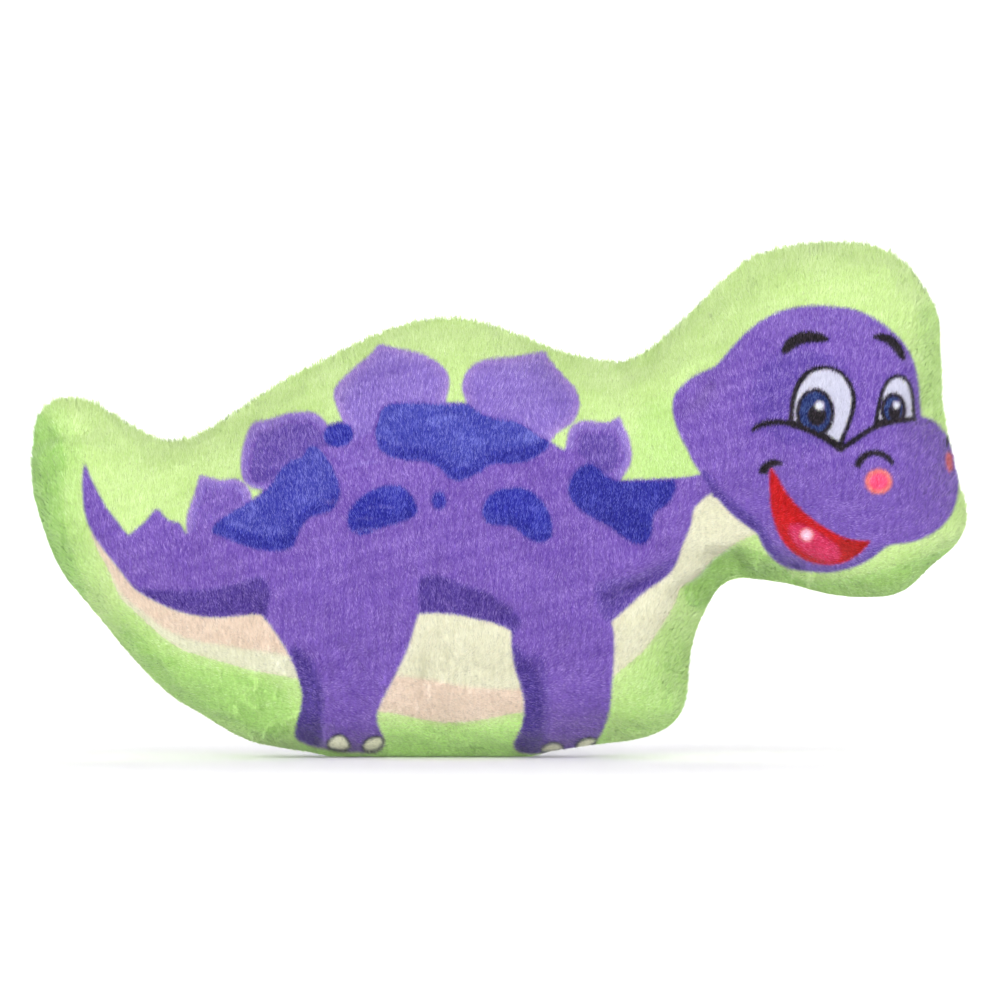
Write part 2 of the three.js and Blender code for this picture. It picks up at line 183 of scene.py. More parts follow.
def ellipse(cx, cy, rx, ry, turn=0.0, n=48):
    t = np.linspace(0, 2 * np.pi, n, endpoint=False)
    x, y = rx * np.cos(t), ry * np.sin(t)
    c, s = math.cos(math.radians(turn)), math.sin(math.radians(turn))
    return np.stack([cx + x * c - y * s, cy + x * s + y * c], 1)


def stroke(points, widths):
    """The outline of a brush line of changing width."""
    pts = curve(points, closed=False, step=1.5)
    seg = np.r_[0, np.cumsum(np.hypot(*np.diff(pts, axis=0).T))]
    src = np.array(points, float)[:, :2]
    at = np.r_[0, np.cumsum(np.hypot(*np.diff(src, axis=0).T))]
    w = np.interp(seg / seg[-1], at / at[-1], widths) / 2
    t = np.gradient(pts, axis=0)
    t /= np.maximum(1e-6, np.hypot(t[:, 0], t[:, 1]))[:, None]
    nrm = np.stack([-t[:, 1], t[:, 0]], 1)
    return np.vstack([pts + nrm * w[:, None], (pts - nrm * w[:, None])[::-1]])


GREEN, CREAM, PINK = (203, 229, 153), (227, 226, 199), (230, 210, 190)
# the darker green is painted shade; the low green is painted light for the underside
SHADE_GREEN, PAINTED_LIGHT_GREEN = (168, 212, 118), (203, 246, 147)
PURPLE, SHADE, PLATE, RIM = (123, 91, 183), (80, 58, 148), (138, 113, 198), (158, 130, 204)
# the darkest blue is painted shade on the lower part of the spots, partly crushed pile
BLUE, SOFT_BLUE, SHADE_BLUE, BLACK = (45, 48, 163), (70, 74, 176), (38, 38, 142), (22, 15, 22)

BODY = [(85, 463, 1), (88, 470), (91, 478), (96, 488), (101, 497), (106, 506), (112, 514), (119, 523), (125, 531), (129, 535, 1),
        (134, 530), (140, 525), (147, 519), (151, 513), (155, 509), (158, 508.5), (161, 511), (164, 515), (168, 519), (174, 521),
        (179, 522), (182, 526), (184, 530), (187, 533, 1), (200, 527), (215, 520), (230, 511), (243, 502), (250, 500), (256, 498),
        (261, 494), (264, 489), (270, 482), (280, 472), (292, 462), (306, 452), (320, 447), (333, 447), (345, 443), (358, 438),
        (370, 432), (376, 424), (385, 412), (400, 405), (450, 403), (467, 403), (490, 417), (520, 424), (545, 439), (552, 441, 1),
        (557, 445), (564, 449, 1), (570, 447), (582, 456), (595, 466), (608, 475), (621, 480, 1), (640, 479), (657, 478.5),
        (675, 477.5), (690, 476), (699, 474, 1), (740, 480), (716, 497), (712, 493, 1), (706, 497), (700, 502), (695, 508), (693, 514),
        (692, 521), (690, 528), (687, 536), (684, 543), (681, 551), (678, 560), (673, 569), (668, 575), (660, 581), (650, 587.5),
        (640, 595), (630, 604.5), (621, 613), (611.7, 621, 1), (614, 632), (614.5, 644), (614, 660), (613, 677), (612, 690),
        (611, 703), (609.5, 713), (606.5, 723), (602.5, 732), (597.5, 740), (590, 745.5), (575, 749.5), (560, 751.5), (545, 753),
        (532, 753.5), (520, 752), (515.5, 748), (514.5, 743), (519, 735), (523, 724), (525, 711), (524.5, 698), (521.5, 685),
        (517, 673), (513.5, 658), (511.7, 643), (511.7, 630, 1), (503, 626), (493, 622), (480, 619), (470, 616.7), (457, 614.3),
        (446, 613), (433, 612.5), (419, 613, 1), (416, 621.5), (413, 631.5), (409, 645), (405, 655), (398, 670), (393, 680),
        (387, 691.5), (382, 701.5), (378, 711.5), (377.5, 720), (379.5, 728), (383, 735), (384.5, 741), (383, 747), (378, 751.5),
        (370, 753), (355, 752.5), (343, 752), (330, 750), (318, 747.5), (305, 743.5), (298, 740), (295.5, 735), (296.5, 727),
        (299, 718), (301, 709), (302.5, 698), (301, 686.5), (297.5, 675), (293, 663.5), (288, 653.5), (281, 641), (273, 629),
        (266, 619.5), (259, 613.5), (240, 615), (222, 616.5), (205, 616), (190, 613.5), (175, 609.5), (165, 605.5), (155, 600.5),
        (145, 595), (135, 588.5), (130, 583), (124, 576), (118, 568), (112, 560.5), (106, 553), (101, 546), (96, 539), (92, 532),
        (88, 524), (85.5, 516), (83.5, 507), (82.5, 497), (82, 487), (82, 477), (83, 469)]
HEAD = [(700, 472, 1), (693, 462), (687, 449), (680.5, 437), (676, 425), (673, 413), (672.5, 402), (675, 393), (680, 387),
        (687, 380.5), (695, 375), (703, 371), (712, 367.5), (718, 363), (723, 357), (730, 348.5), (737, 341), (744, 333.5),
        (752, 327), (759, 321.5), (767, 317), (775, 312.7), (784, 309.5), (793, 307.3), (804, 305.7), (817, 305), (830, 305.7),
        (843, 307), (854, 309), (865, 313), (875, 318.5), (885, 325), (894, 332), (903, 341), (910, 351.5), (915, 363), (918, 376),
        (919.7, 390), (920.5, 404), (922, 416, 1), (928, 417.7), (935, 421), (941.5, 427), (947, 434.5), (951, 442), (954.5, 452.5),
        (957, 463), (959, 474), (959.3, 485), (958, 496), (955, 506.5), (951, 515.5), (944, 524.5), (935, 532), (926, 537),
        (916.5, 541), (906, 543.2), (896, 544.2), (887, 546.5), (878.5, 553), (869.5, 559.5), (860.5, 564.2), (850, 568.2),
        (837, 571.5), (823, 572.5), (810, 571.5), (797, 570), (787, 567.5), (777, 561.7), (770, 555), (764, 546.7), (760, 538.5),
        (757.5, 533.3), (751.5, 529), (742, 521.7), (733, 514.7), (725, 506.5), (718, 498.5), (712, 492.5)]
PLATES = [
    [(187, 534, 1), (186, 522), (187, 514), (189.5, 505), (193, 496), (196, 487), (198.5, 478), (200.5, 474.5, 1), (207, 476),
     (214, 478), (221, 479), (229, 478), (236, 478), (241, 480), (245, 483.5), (249, 488), (251.5, 494), (251, 502, 1), (246, 515),
     (225, 535), (200, 545)],
    [(240.8, 457), (242.3, 447), (244.5, 439), (248, 430), (252, 423), (258, 420.5), (267, 419), (275, 416.5), (283, 413.7),
     (291, 411.8), (300, 411), (308, 411), (316, 413), (322, 417.5), (327, 423), (331, 429, 1), (347, 440, 1), (340, 460),
     (320, 475), (290, 487), (267, 489), (257, 488.5), (249.5, 485.5), (244, 481), (241.5, 474), (240.3, 466)],
    [(342, 420, 1), (339, 413), (336, 405), (333.5, 397), (333.7, 390), (337, 384), (342, 378), (348, 372.5), (354, 367.5),
     (360, 362), (367, 356.5), (372, 351.5), (375.5, 347), (378.5, 343.5, 1), (385, 344.5), (392, 346), (400, 348), (408, 349.5),
     (417, 351.5), (425, 354.5), (433, 358.5), (440, 363), (445, 368), (448.3, 374), (449.7, 381), (448.7, 389), (447, 396),
     (446, 402, 1), (450, 430), (390, 460), (345, 445)],
    [(467, 403, 1), (464, 396), (462, 389), (462.3, 382), (464.3, 375), (468, 369), (473, 364.5), (480, 360.5), (490, 358),
     (500, 357), (510, 356.3), (520, 355), (530, 353), (540, 351.3), (545.5, 351, 1), (548, 355.5), (551.5, 361), (557, 367.5),
     (563, 374), (570, 381.5), (576, 388.5), (579, 396), (580, 404), (578.3, 412), (575, 419), (570, 424.5), (564, 428.5),
     (557, 433), (551.5, 440, 1), (530, 455), (470, 430)],
    [(565.5, 448.5, 1), (566.5, 440), (568.5, 431), (572, 425), (577, 421.5), (583, 420), (590, 420), (598, 421.2), (607, 421.5),
     (613, 419.5), (619.7, 415.7, 1), (621.7, 420), (624, 426), (627.5, 433), (630.5, 443), (632, 453), (631, 462), (628, 469),
     (624, 475), (620.5, 480.5, 1), (600, 492), (575, 480)],
]
BLUE_SPOTS = [
    [(379, 412), (382, 407), (386, 403.5), (392, 402), (400, 401.5), (415, 401.5), (430, 402), (450, 402.5), (466, 403), (474, 407),
     (482, 412), (490, 416), (502, 418), (513, 420), (522, 423), (531, 429), (539, 435), (547, 439), (549.5, 442.5), (547, 448),
     (540, 454), (532, 458.5), (522, 462), (510, 463), (497, 463), (488, 465.5), (481, 471), (473, 475.5), (465, 479), (457, 480.5),
     (450, 478), (445, 473), (440, 468), (433, 463.5), (425, 461), (417, 460.5), (408, 460.5), (400, 458.5), (390, 456), (383, 452),
     (378.5, 447), (376.5, 440), (375, 433), (375.5, 427), (377.5, 420)],
    [(211.5, 530), (215, 524), (222, 517.5), (232, 511), (242, 505), (251, 499.5), (259, 494.5), (265, 488), (272, 481.5), (278, 472),
     (285, 465), (293, 459), (300, 457), (304, 453), (307, 448), (311, 445), (317, 446.5), (322, 451), (327, 457), (332, 465),
     (335.5, 473), (338.5, 482), (340, 490), (339, 499), (335, 506), (328, 511.5), (318, 514), (309, 518), (302, 526), (297, 536), (292, 547),
     (280, 550.5), (268, 550), (256, 548.5), (244, 545), (234, 541), (224, 537), (215, 534)],
    [(347, 516), (350, 508), (355, 502), (360, 497.5), (367, 492.5), (375, 488.5), (383, 485.7), (391, 484.5), (398, 484.5),
     (404, 487.5), (410, 493), (415, 500), (417.5, 508), (415.5, 515), (408, 519.5), (397, 523), (386, 526), (374, 531),
     (362, 534.5), (353, 532), (348, 525)],
    [(482, 511), (484, 503), (489, 495), (497, 490), (508, 487.5), (520, 487), (530, 490), (538, 496), (544, 503), (549, 512),
     (552, 522), (552.5, 533), (549, 539), (542, 542), (534, 541), (526, 537), (519, 531), (513, 526), (505, 525.3), (496, 525),
     (489, 523), (484, 518)],
    [(568, 492), (569, 482), (573, 473), (580, 466.5), (587, 463), (593, 463.5), (600, 468), (606, 474), (612, 478), (621, 480.5, 1),
     (640, 480), (660, 479.5), (674.5, 479, 1), (676, 487), (673, 496), (669, 503), (662, 508), (655, 512.5), (653, 520),
     (652.5, 530), (650, 538), (645, 543), (638, 544), (630, 541), (620, 535), (610, 527), (600, 521), (590, 516), (580, 509.5),
     (572, 501)],
]
PINK_TAIL = [(90, 528, 1), (93, 539), (97, 548), (101, 556), (105, 564), (110, 573), (115, 583), (120, 592), (126, 599), (133, 605),
             (142, 612), (150, 618), (158, 625), (167, 630.3), (177, 635), (187, 639), (200, 642), (217, 644.5), (233, 647.5),
             (250, 650), (266, 652), (290, 656, 1), (300, 600), (200, 560), (120, 540)]
CREAM_TAIL = [(112, 578, 1), (116, 587), (121, 597), (127, 604.5), (134, 611), (142, 618.5), (150, 626), (160, 635), (170, 642.5),
              (182, 649.5), (195, 654), (208, 658), (222, 662), (237, 666.5), (250, 670), (265, 673), (280, 675.3), (290, 677.5),
              (305, 680, 1), (310, 600), (200, 560), (130, 560)]
CREAM_BELLY = [(380, 674, 1), (397, 675.5), (413, 677.5), (430, 679.5), (447, 683), (463, 686), (480, 687.5), (497, 689), (515, 689),
               (535, 688, 1), (540, 600), (400, 600)]
PINK_BELLY = [(370, 711, 1), (379, 712), (397, 714), (413, 717.5), (430, 721), (443, 722.8), (463, 722.5), (480, 720.5), (497, 717.3),
              (512, 714.3), (535, 710, 1), (540, 680), (370, 670)]
CREAM_CHEST = [(712, 493, 1), (740, 505), (775, 520), (762, 531.5, 1), (748, 537.5), (740, 541.5), (733, 545.7), (727, 550), (717, 557),
               (711, 562), (706, 568), (698, 576.5), (690, 582), (681.5, 587), (678.5, 592), (677, 599), (672, 609), (667, 617.5),
               (660, 629), (650, 643), (640, 654.5), (628, 664), (617, 673), (606, 681, 1), (600, 600), (680, 500)]
SHADES = [
    # under the tail, over the belly, down the back of each leg, and under the chest
    ([(128, 583), (140, 588), (150, 589), (165, 590), (185, 590.3), (203, 589.7), (215, 588), (226, 586), (237, 584), (245, 580.5),
      (254, 577.5), (262, 576, 1), (270, 590), (268, 605), (266, 622, 1), (240, 622), (200, 622), (160, 612), (130, 592)], 1.6, 0.95),
    ([(419.5, 616, 1), (419, 578, 1), (427, 575.5), (436, 575.5), (447, 578), (457, 582), (467, 586), (479, 589.5), (489, 593),
      (497, 599), (506, 605), (513, 610), (518, 615.5), (520.5, 622), (518, 629), (512, 634, 1), (480, 626), (440, 620)], 2.0, 0.95),
    ([(290, 645, 1), (300, 650), (306, 655), (312, 662.5), (316, 672), (320, 682), (322, 692), (322.5, 705), (322, 720), (321.5, 735),
      (322, 752, 1), (290, 752), (285, 700), (290, 660)], 2.6, 0.95),
    ([(508, 640, 1), (516, 645), (521, 651), (527, 660), (532, 669.5), (538, 680), (541.5, 690), (542.5, 703), (541, 718), (539.5, 735),
      (539, 756, 1), (505, 756), (512, 700), (505, 660)], 2.6, 0.95),
    ([(700, 468, 1), (707, 473), (716, 484), (727, 495), (740, 506), (751, 515), (760, 523), (767, 533), (773, 544), (781, 553),
      (793, 561), (807, 566.5), (822, 568.5), (837, 567), (850, 562.5), (862, 556.5), (873, 550), (883, 546), (892, 545, 1),
      (890, 560), (840, 585), (780, 580), (740, 540), (700, 500)], 2.2, 0.8),
]
MOUTH = [(770.3, 466.5, 1), (769.5, 475), (769.5, 485), (770, 496), (771, 507), (773.3, 518.5), (777, 530), (782, 540), (788.5, 548.5),
         (797, 555.5), (807, 561), (819, 564.3), (831.5, 565), (843.5, 563), (853.5, 558), (862, 551.5), (868, 545), (871, 540.7, 1),
         (863, 541), (852, 539.7), (840.5, 535.7), (830, 530), (818.5, 523), (808, 515), (798.5, 506.5), (790, 496.5), (783.3, 486.5),
         (778, 477), (774, 470.5)]
TONGUE = [(790, 527), (795, 524), (803, 525), (813, 530), (823, 536.5), (833, 543), (839, 550), (840, 556.5), (835, 561), (825, 561),
          (813, 556.7), (803, 551), (795, 542), (790.5, 534)]
EYE_L = [(787.5, 425, 1), (789, 413), (790, 403), (792, 393), (795, 384.5), (799.5, 377), (805.5, 370.5), (813.5, 366.3), (823, 364.7),
         (833, 366), (841.5, 370), (848, 376.5), (853, 385), (856, 394), (856.5, 403), (855, 412), (852, 421), (849, 429), (845.5, 438),
         (842.5, 447), (840, 452, 1), (831, 445), (821, 438.5), (810, 433), (799, 429), (790, 427)]
WHITE_L = [(794.3, 419, 1), (794.5, 411), (795.5, 403), (797.3, 395), (800.7, 386.5), (805.7, 378.7), (813.3, 372), (823, 369.3),
           (832.7, 370.5), (841, 375.3), (847, 383.3), (850.7, 393), (851.2, 403), (849.3, 414), (846.3, 423.5), (842.7, 432),
           (838.5, 441, 1), (832, 436.5), (824, 432), (812, 427.5), (802, 424)]
EYE_R = [(873.5, 424.5, 1), (875, 414), (877, 404), (880.3, 391.5), (885.5, 381), (891.5, 375.5), (898.5, 373.3), (905, 375.3),
         (910, 380.3), (913.3, 388.5), (915.3, 399), (915.8, 410), (916.3, 420.5, 1), (906, 421), (895, 422.5), (883, 426)]
WHITE_R = [(879.3, 419, 1), (880.7, 410), (882.5, 401), (885, 391), (889, 383.3), (894, 378.8), (898.7, 377.7), (903.5, 379.5),
           (907.7, 384.3), (910.3, 391.5), (911.8, 401), (912.2, 410), (912.3, 416.5, 1), (903, 417), (893, 418.5)]
BROW_L = [(782.5, 352, 1), (784, 346), (788, 340), (793, 336), (800, 333), (808, 331.8), (817, 332.5), (823, 335), (828.5, 338.7, 1),
          (825, 340.3), (817, 341), (808, 341.3), (800, 343.3), (793, 347), (787.5, 351.5)]
BROW_R = [(873.5, 336.5, 1), (880.5, 334), (888, 335), (894.5, 338.5), (900, 344.3), (903.5, 351.5), (905, 359.5, 1), (901.5, 358),
          (898, 353.5), (892.5, 346.7), (886.5, 341.7), (880, 339)]
NAILS = [
    [(328.5, 745), (331.5, 740), (337, 736.8), (343, 737.3), (347.5, 742), (348.8, 747.3), (343, 749.7), (335, 748.8), (330, 747.3)],
    [(364.3, 748), (365.3, 744), (369, 740.3), (375, 738.2), (380.7, 738.3), (382, 742.5), (379.7, 747.3), (375, 750.2), (368, 750.3)],
    [(542.5, 750.7), (545.5, 747), (551, 744.5), (557, 744.3), (561.5, 746.5), (562.5, 749.3), (557, 750.3), (549, 751.5)],
    [(577, 747), (580.3, 742.8), (585, 740.3), (591.5, 739.2), (595.3, 740.2), (593, 744), (587.5, 746.8), (581, 748)],
]


def grow(poly, by):
    """Moves a closed line outwards by its own normal."""
    p = np.asarray(poly, float)
    t = np.roll(p, -1, 0) - np.roll(p, 1, 0)
    t /= np.maximum(1e-6, np.hypot(t[:, 0], t[:, 1]))[:, None]
    n = np.stack([t[:, 1], -t[:, 0]], 1)
    area = 0.5 * np.sum(p[:, 0] * np.roll(p[:, 1], -1) - np.roll(p[:, 0], -1) * p[:, 1])
    return p + n * by * (1 if area > 0 else -1)


def draw_art():
    art = np.empty((ART_H, ART_W, 3), np.float32)
    art[:] = srgb(*GREEN)
    crisp = {}

    def paint(poly, colour, sigma=1.1, alpha=1.0, inside=None):
        m = soft_fill(poly, sigma) * alpha
        if inside is not None:
            m = m * inside
        art[:] = art * (1 - m[..., None]) + srgb(*colour).astype(np.float32) * m[..., None]
        return m

    # painted shade: the green ground is darkened round the tail tip, under the chin and beside the snout, where the
    # cloth turns away from the light
    paint(curve([(22, 400), (60, 418), (74, 450), (70, 500), (84, 560), (96, 600), (70, 620), (20, 560), (10, 470)]), SHADE_GREEN, 9.0, 0.75)
    paint(curve([(690, 560), (725, 548), (765, 556), (790, 585), (740, 600), (690, 606)]), (148, 194, 98), 8.0, 0.95)
    paint(curve([(925, 300), (950, 330), (952, 420), (930, 410), (922, 360)]), SHADE_GREEN, 7.0, 0.4)
    paint(curve([(640, 415), (680, 400), (690, 450), (690, 475), (645, 475)]), SHADE_GREEN, 9.0, 0.35)
    # painted light: the green is brightened along the bottom, where the pile lies flat, standing in for light that does
    # not reach the underside
    paint(curve([(150, 690), (250, 712), (380, 722), (520, 722), (640, 700), (720, 690), (720, 790), (120, 790), (110, 700)]), PAINTED_LIGHT_GREEN, 9.0, 0.85)
    # painted shade: the fold between the tail and the belly is darker than the belly itself, as are the green under the
    # snout and beside the front leg
    paint(curve([(120, 610), (180, 650), (270, 672), (300, 700), (290, 752), (220, 730), (160, 700), (110, 640)]), (176, 222, 120), 9.0, 0.85)
    paint(curve([(760, 578), (820, 582), (880, 572), (930, 556), (975, 548), (960, 620), (760, 620), (745, 590)]), (148, 194, 96), 8.0, 0.9)
    paint(curve([(625, 690), (650, 655), (672, 625), (700, 620), (700, 760), (640, 750), (610, 745)]), SHADE_GREEN, 9.0, 0.6)
    paint(curve(CREAM_TAIL), (229, 229, 203), 2.2)
    paint(curve(PINK_TAIL), PINK, 2.0)
    paint(curve(PINK_BELLY), PINK, 1.8)
    paint(curve(CREAM_BELLY), CREAM, 1.8)
    paint(curve(CREAM_CHEST), CREAM, 2.0)
    for k, plate in enumerate(PLATES):
        edge = curve(plate)
        m = paint(edge, RIM, 1.1)
        inner = soft_fill(grow(edge, -7.0), 4.0) * m
        art[:] = art * (1 - inner[..., None]) + srgb(*((116, 93, 181), (102, 82, 172), PLATE, PLATE, (107, 86, 171))[k]).astype(np.float32) * inner[..., None]
    body_mask = soft_fill(curve(BODY), 1.1)
    body_soft = soft_fill(curve(BODY), 1.1)
    art[:] = art * (1 - body_mask[..., None]) + srgb(*PURPLE).astype(np.float32) * body_mask[..., None]
    # plates fade into the back instead of ending on a line
    fade = soft_fill(curve([(262, 486), (285, 466), (310, 452), (345, 445), (375, 440), (375, 462), (350, 462), (318, 470), (300, 480), (275, 492)]), 6.0)
    art[:] = art * (1 - 0.45 * fade[..., None]) + srgb(*PLATE).astype(np.float32) * 0.45 * fade[..., None]
    # the second plate deepens towards the back
    paint(curve([(247, 476), (262, 466), (285, 452), (300, 446), (296, 456), (284, 470), (270, 482), (256, 486)]), (88, 70, 162), 5.0, 0.8, inside=1 - body_soft)
    for poly, sigma, alpha in SHADES[:4]:
        paint(curve(poly), SHADE, sigma, alpha, inside=body_soft)
    paint(ellipse(533, 706, 13, 52, 0), (62, 42, 132), 6.0, 0.75, inside=body_soft)
    paint(ellipse(305, 700, 13, 40, 0), (68, 46, 132), 6.0, 0.65, inside=body_soft)
    # painted shade deepens the print's dark band under the chest, where the cloth folds
    paint(curve([(596, 586), (612, 580), (630, 578), (652, 570), (676, 560), (674, 576), (652, 590), (632, 603), (612, 621), (602, 612)]), SHADE, 3.5, 0.75, inside=body_soft)
    for k, spot in enumerate(BLUE_SPOTS):
        m = paint(curve(spot), (SOFT_BLUE, (63, 66, 170), (40, 43, 160), BLUE, (40, 43, 152))[min(k, 4)], 1.5)
        # the lower part of each spot is darkened: partly crushed pile, partly painted shade
        lower = np.roll(m, -int((13 if k < 2 else 9) * ART_SUB), axis=0)
        low = np.clip(m - lower, 0, 1)
        low = soften(low, 3.0) * m
        deep = 0.85 if k < 2 else 0.55
        art[:] = art * (1 - deep * low[..., None]) + srgb(*SHADE_BLUE).astype(np.float32) * deep * low[..., None]
    paint(ellipse(338.5, 434, 15.5, 13, -8), BLUE, 1.4)
    paint(ellipse(439, 500, 8, 9.7), (58, 50, 163), 1.6)
    head_mask = paint(curve(HEAD), PURPLE, 1.1)
    for poly, sigma, alpha in SHADES[4:]:
        paint(curve(poly), SHADE, sigma, alpha, inside=head_mask)
    # soft shade above and beside the eyes, and a paler brow and snout
    paint(ellipse(838, 322, 74, 20, 0), (138, 110, 186), 8.0, 0.55, inside=head_mask)
    paint(ellipse(802, 396, 54, 52), (88, 60, 168), 9.0, 0.5, inside=head_mask)
    paint(ellipse(895, 400, 25, 34), (88, 58, 176), 5.0, 0.22, inside=head_mask)
    # painted sheen: pale streaks where the pile has been rubbed flat and catches the light, and one loose curl of fibre
    for line, w in (([(378, 589), (386, 588), (397, 589.5)], 2.2), ([(300, 541), (314, 539), (330, 540)], 1.8), ([(352, 531), (368, 529), (386, 530)], 2.0),
                    ([(365, 508), (380, 506), (396, 508)], 1.8), ([(352, 520), (366, 518), (378, 519)], 1.6), ([(320, 500), (332, 502), (342, 500)], 1.6),
                    ([(436, 606), (440, 600), (446, 603), (450, 609), (454, 602)], 1.6), ([(228, 620), (236, 616), (244, 620)], 1.3),
                    ([(340, 470), (362, 463), (390, 461)], 2.4), ([(500, 545), (516, 547), (530, 545)], 1.6), ([(600, 545), (614, 549), (628, 548)], 1.8)):
        paint(stroke(line, [w * 0.5] + [w] * (len(line) - 2) + [w * 0.5]), (160, 138, 208), 1.2, 0.38, inside=body_soft)
    # mouth
    mouth = paint(curve(MOUTH), (198, 4, 8), 0.9)
    paint(curve(MOUTH), (150, 10, 22), 1.0, 0.55, inside=mouth * (1 - soft_fill(grow(curve(MOUTH), -2.4), 1.2)))
    paint(ellipse(856, 548, 20, 14, 0), (160, 0, 0), 5.0, 0.9, inside=mouth)
    paint(curve(TONGUE), (210, 46, 94), 1.8, 1.0, inside=mouth)
    paint(ellipse(807, 535, 5.6, 5.6), (250, 216, 236), 1.5, 0.95)
    paint(stroke([(763.3, 474), (764.3, 469), (767.5, 465), (772.5, 463), (778, 462.7), (783, 464)], [9.5, 9.5, 9.0, 8.0, 6.4, 3.0]), BLACK, 0.9)
    # nose
    paint(ellipse(878.8, 481.2, 13.6, 12.7), (232, 138, 112), 1.3)
    paint(ellipse(878.8, 481.2, 10.0, 9.2), (246, 84, 134), 1.8)
    paint(stroke([(857, 467), (860.5, 460), (866.5, 454.3), (874, 452.3), (882, 454), (888.5, 458), (894, 464)], [7.6, 7.6, 7.2, 6.6, 6.6, 6.2, 4.4]), BLACK, 0.9)
    paint(ellipse(949.8, 461.3, 3.7, 10.4, -5), (208, 106, 104), 1.2)
    paint(stroke([(949, 436), (947.7, 441), (947.2, 446.5)], [3.2, 3.6, 2.2]), BLACK, 0.8)
    # eyes
    for eye, white, iris in ((EYE_L, WHITE_L, (815.3, 412.5, 19.6, 25.0)), (EYE_R, WHITE_R, (893.6, 409.5, 13.4, 17.6))):
        outer = paint(curve(eye), BLACK, 0.7)
        clear = soft_fill(curve(white), 0.7)
        art[:] = art * (1 - clear[..., None]) + srgb(208, 208, 226).astype(np.float32) * clear[..., None]
        cx, cy, rx, ry = iris
        paint(ellipse(cx, cy, rx, ry), BLACK, 0.7, 1.0, inside=outer)
        k = rx / 19.6
        paint(ellipse(cx, cy - 0.3, rx - 4.4, ry - 4.4), (30, 49, 112), 0.8, 1.0, inside=soft_fill(grow(curve(eye), -3.2), 0.8))
        paint(ellipse(cx + 1.6 * k, cy + 2.0, 9.4 * k, 10.6 * k + 0.8), BLACK, 0.9, 1.0, inside=outer)
        paint(ellipse(cx + 4.4 * k, cy - 7.2 * k, 4.3 * (0.3 + 0.7 * k), 4.3 * (0.3 + 0.7 * k)), (236, 240, 250), 1.0, 0.95)
    paint(stroke([(751.5, 431), (757, 426.3), (765, 423.3), (776, 421.8), (788, 422.7), (800, 426.3), (811, 430.8), (821, 435.8), (831, 441.8), (841, 449.5)],
                 [3.6, 5.6, 6.4, 6.4, 6.2, 6.2, 6.2, 6.2, 6.2, 5.0]), BLACK, 0.9)
    paint(stroke([(840, 451), (846, 445.5), (853, 440.7), (861.5, 435), (871.5, 428.6), (882.5, 423.8), (895, 420.8), (906, 419.3), (917, 418.3)],
                 [4.5, 5.8, 6.2, 6.2, 6.2, 6.2, 6.2, 5.6, 4.0]), BLACK, 0.9)
    paint(grow(curve(BROW_L), 1.6), BLACK, 0.8)
    paint(grow(curve(BROW_R), 1.6), BLACK, 0.8)
    for nail in NAILS:
        paint(grow(curve(nail), 2.6), BLACK, 0.9)
        paint(curve(nail), (255, 255, 226), 0.9)
    return art


def look_up(art, u, v):
    """Linear colours at artwork places (u, v)."""
    x = np.clip((u - ART_X0) * ART_SUB - 0.5, 0, ART_W - 1.001)
    y = np.clip((v - ART_Y0) * ART_SUB - 0.5, 0, ART_H - 1.001)
    i, j = x.astype(int), y.astype(int)
    s, t = (x - i)[:, None], (y - j)[:, None]
    return (art[j, i] * (1 - s) + art[j, i + 1] * s) * (1 - t) + (art[j + 1, i] * (1 - s) + art[j + 1, i + 1] * s) * t

# ---------------------------------------------------------------- the two covers
S = 1 / U                       # millimetres to an artwork unit
ART_CX, ART_FLOOR = 499.4, 759.0
EYE_DIST, EYE_Z = 1500.0, 49.36   # the artwork is true to scale seen from here, in mm
REST_X, REST_HALF = -13.0, 24.0


def periodic(points, n):
    """A smooth closed line through the points, evenly spaced."""
    p = np.asarray(points, float)
    q = np.vstack([p[-1:], p, p[:2]])
    out = []
    for i in range(1, len(p) + 1):
        a, b, c, d = q[i - 1], q[i], q[i + 1], q[i + 2]
        for t in np.arange(8) / 8:
            out.append(0.5 * (2 * b + (c - a) * t + (2 * a - 5 * b + 4 * c - d) * t * t + (3 * b - a - 3 * c + d) * t ** 3))
    out = np.array(out)
    s = np.r_[0, np.cumsum(np.hypot(*np.diff(np.vstack([out, out[:1]]), axis=0).T))]
    at = np.linspace(0, s[-1], n, endpoint=False)
    return np.stack([np.interp(at, s, np.r_[out[:, k], out[0, k]]) for k in (0, 1)], 1)


def outward(p):
    t = np.roll(p, -1, 0) - np.roll(p, 1, 0)
    t /= np.hypot(t[:, 0], t[:, 1])[:, None]
    n = np.stack([t[:, 1], -t[:, 0]], 1)
    area = 0.5 * np.sum(p[:, 0] * np.roll(p[:, 1], -1) - np.roll(p[:, 0], -1) * p[:, 1])
    return n * (1 if area > 0 else -1)


def inset(p, by):
    q = p - outward(p) * (by[:, None] if isinstance(by, np.ndarray) else by)
    for _ in range(2):
        q = 0.25 * np.roll(q, 1, 0) + 0.5 * q + 0.25 * np.roll(q, -1, 0)
    return q


def flat_fill(poly, x0, z0, h, w, cell):
    """Cells of a millimetre grid inside a closed line."""
    p = (poly - [x0, z0]) / cell
    toggles = np.zeros((h, w + 1), np.int32)
    for (xa, ya), (xb, yb) in zip(p, np.roll(p, -1, axis=0)):
        if ya == yb:
            continue
        lo, hi = min(ya, yb), max(ya, yb)
        rows = np.arange(max(0, math.ceil(lo)), min(h, math.ceil(hi)))
        if len(rows):
            xs = xa + (rows - ya) * (xb - xa) / (yb - ya)
            toggles[rows, np.clip(np.ceil(xs), 0, w).astype(int)] += 1
    return np.cumsum(toggles, axis=1)[:, :-1] % 2 == 1


silhouette = periodic([((x - ART_CX) * S, max(0.0, (ART_FLOOR - y) * S - 0.45)) for x, y in OUTLINE], 560)
up = outward(silhouette)[:, 1]
EDGE = inset(silhouette, 0.45 + 0.25 * np.clip(up, 0, 1))          # the seam line; the pile stands proud of it
EDGE[:, 1] = np.maximum(EDGE[:, 1], 0.12)

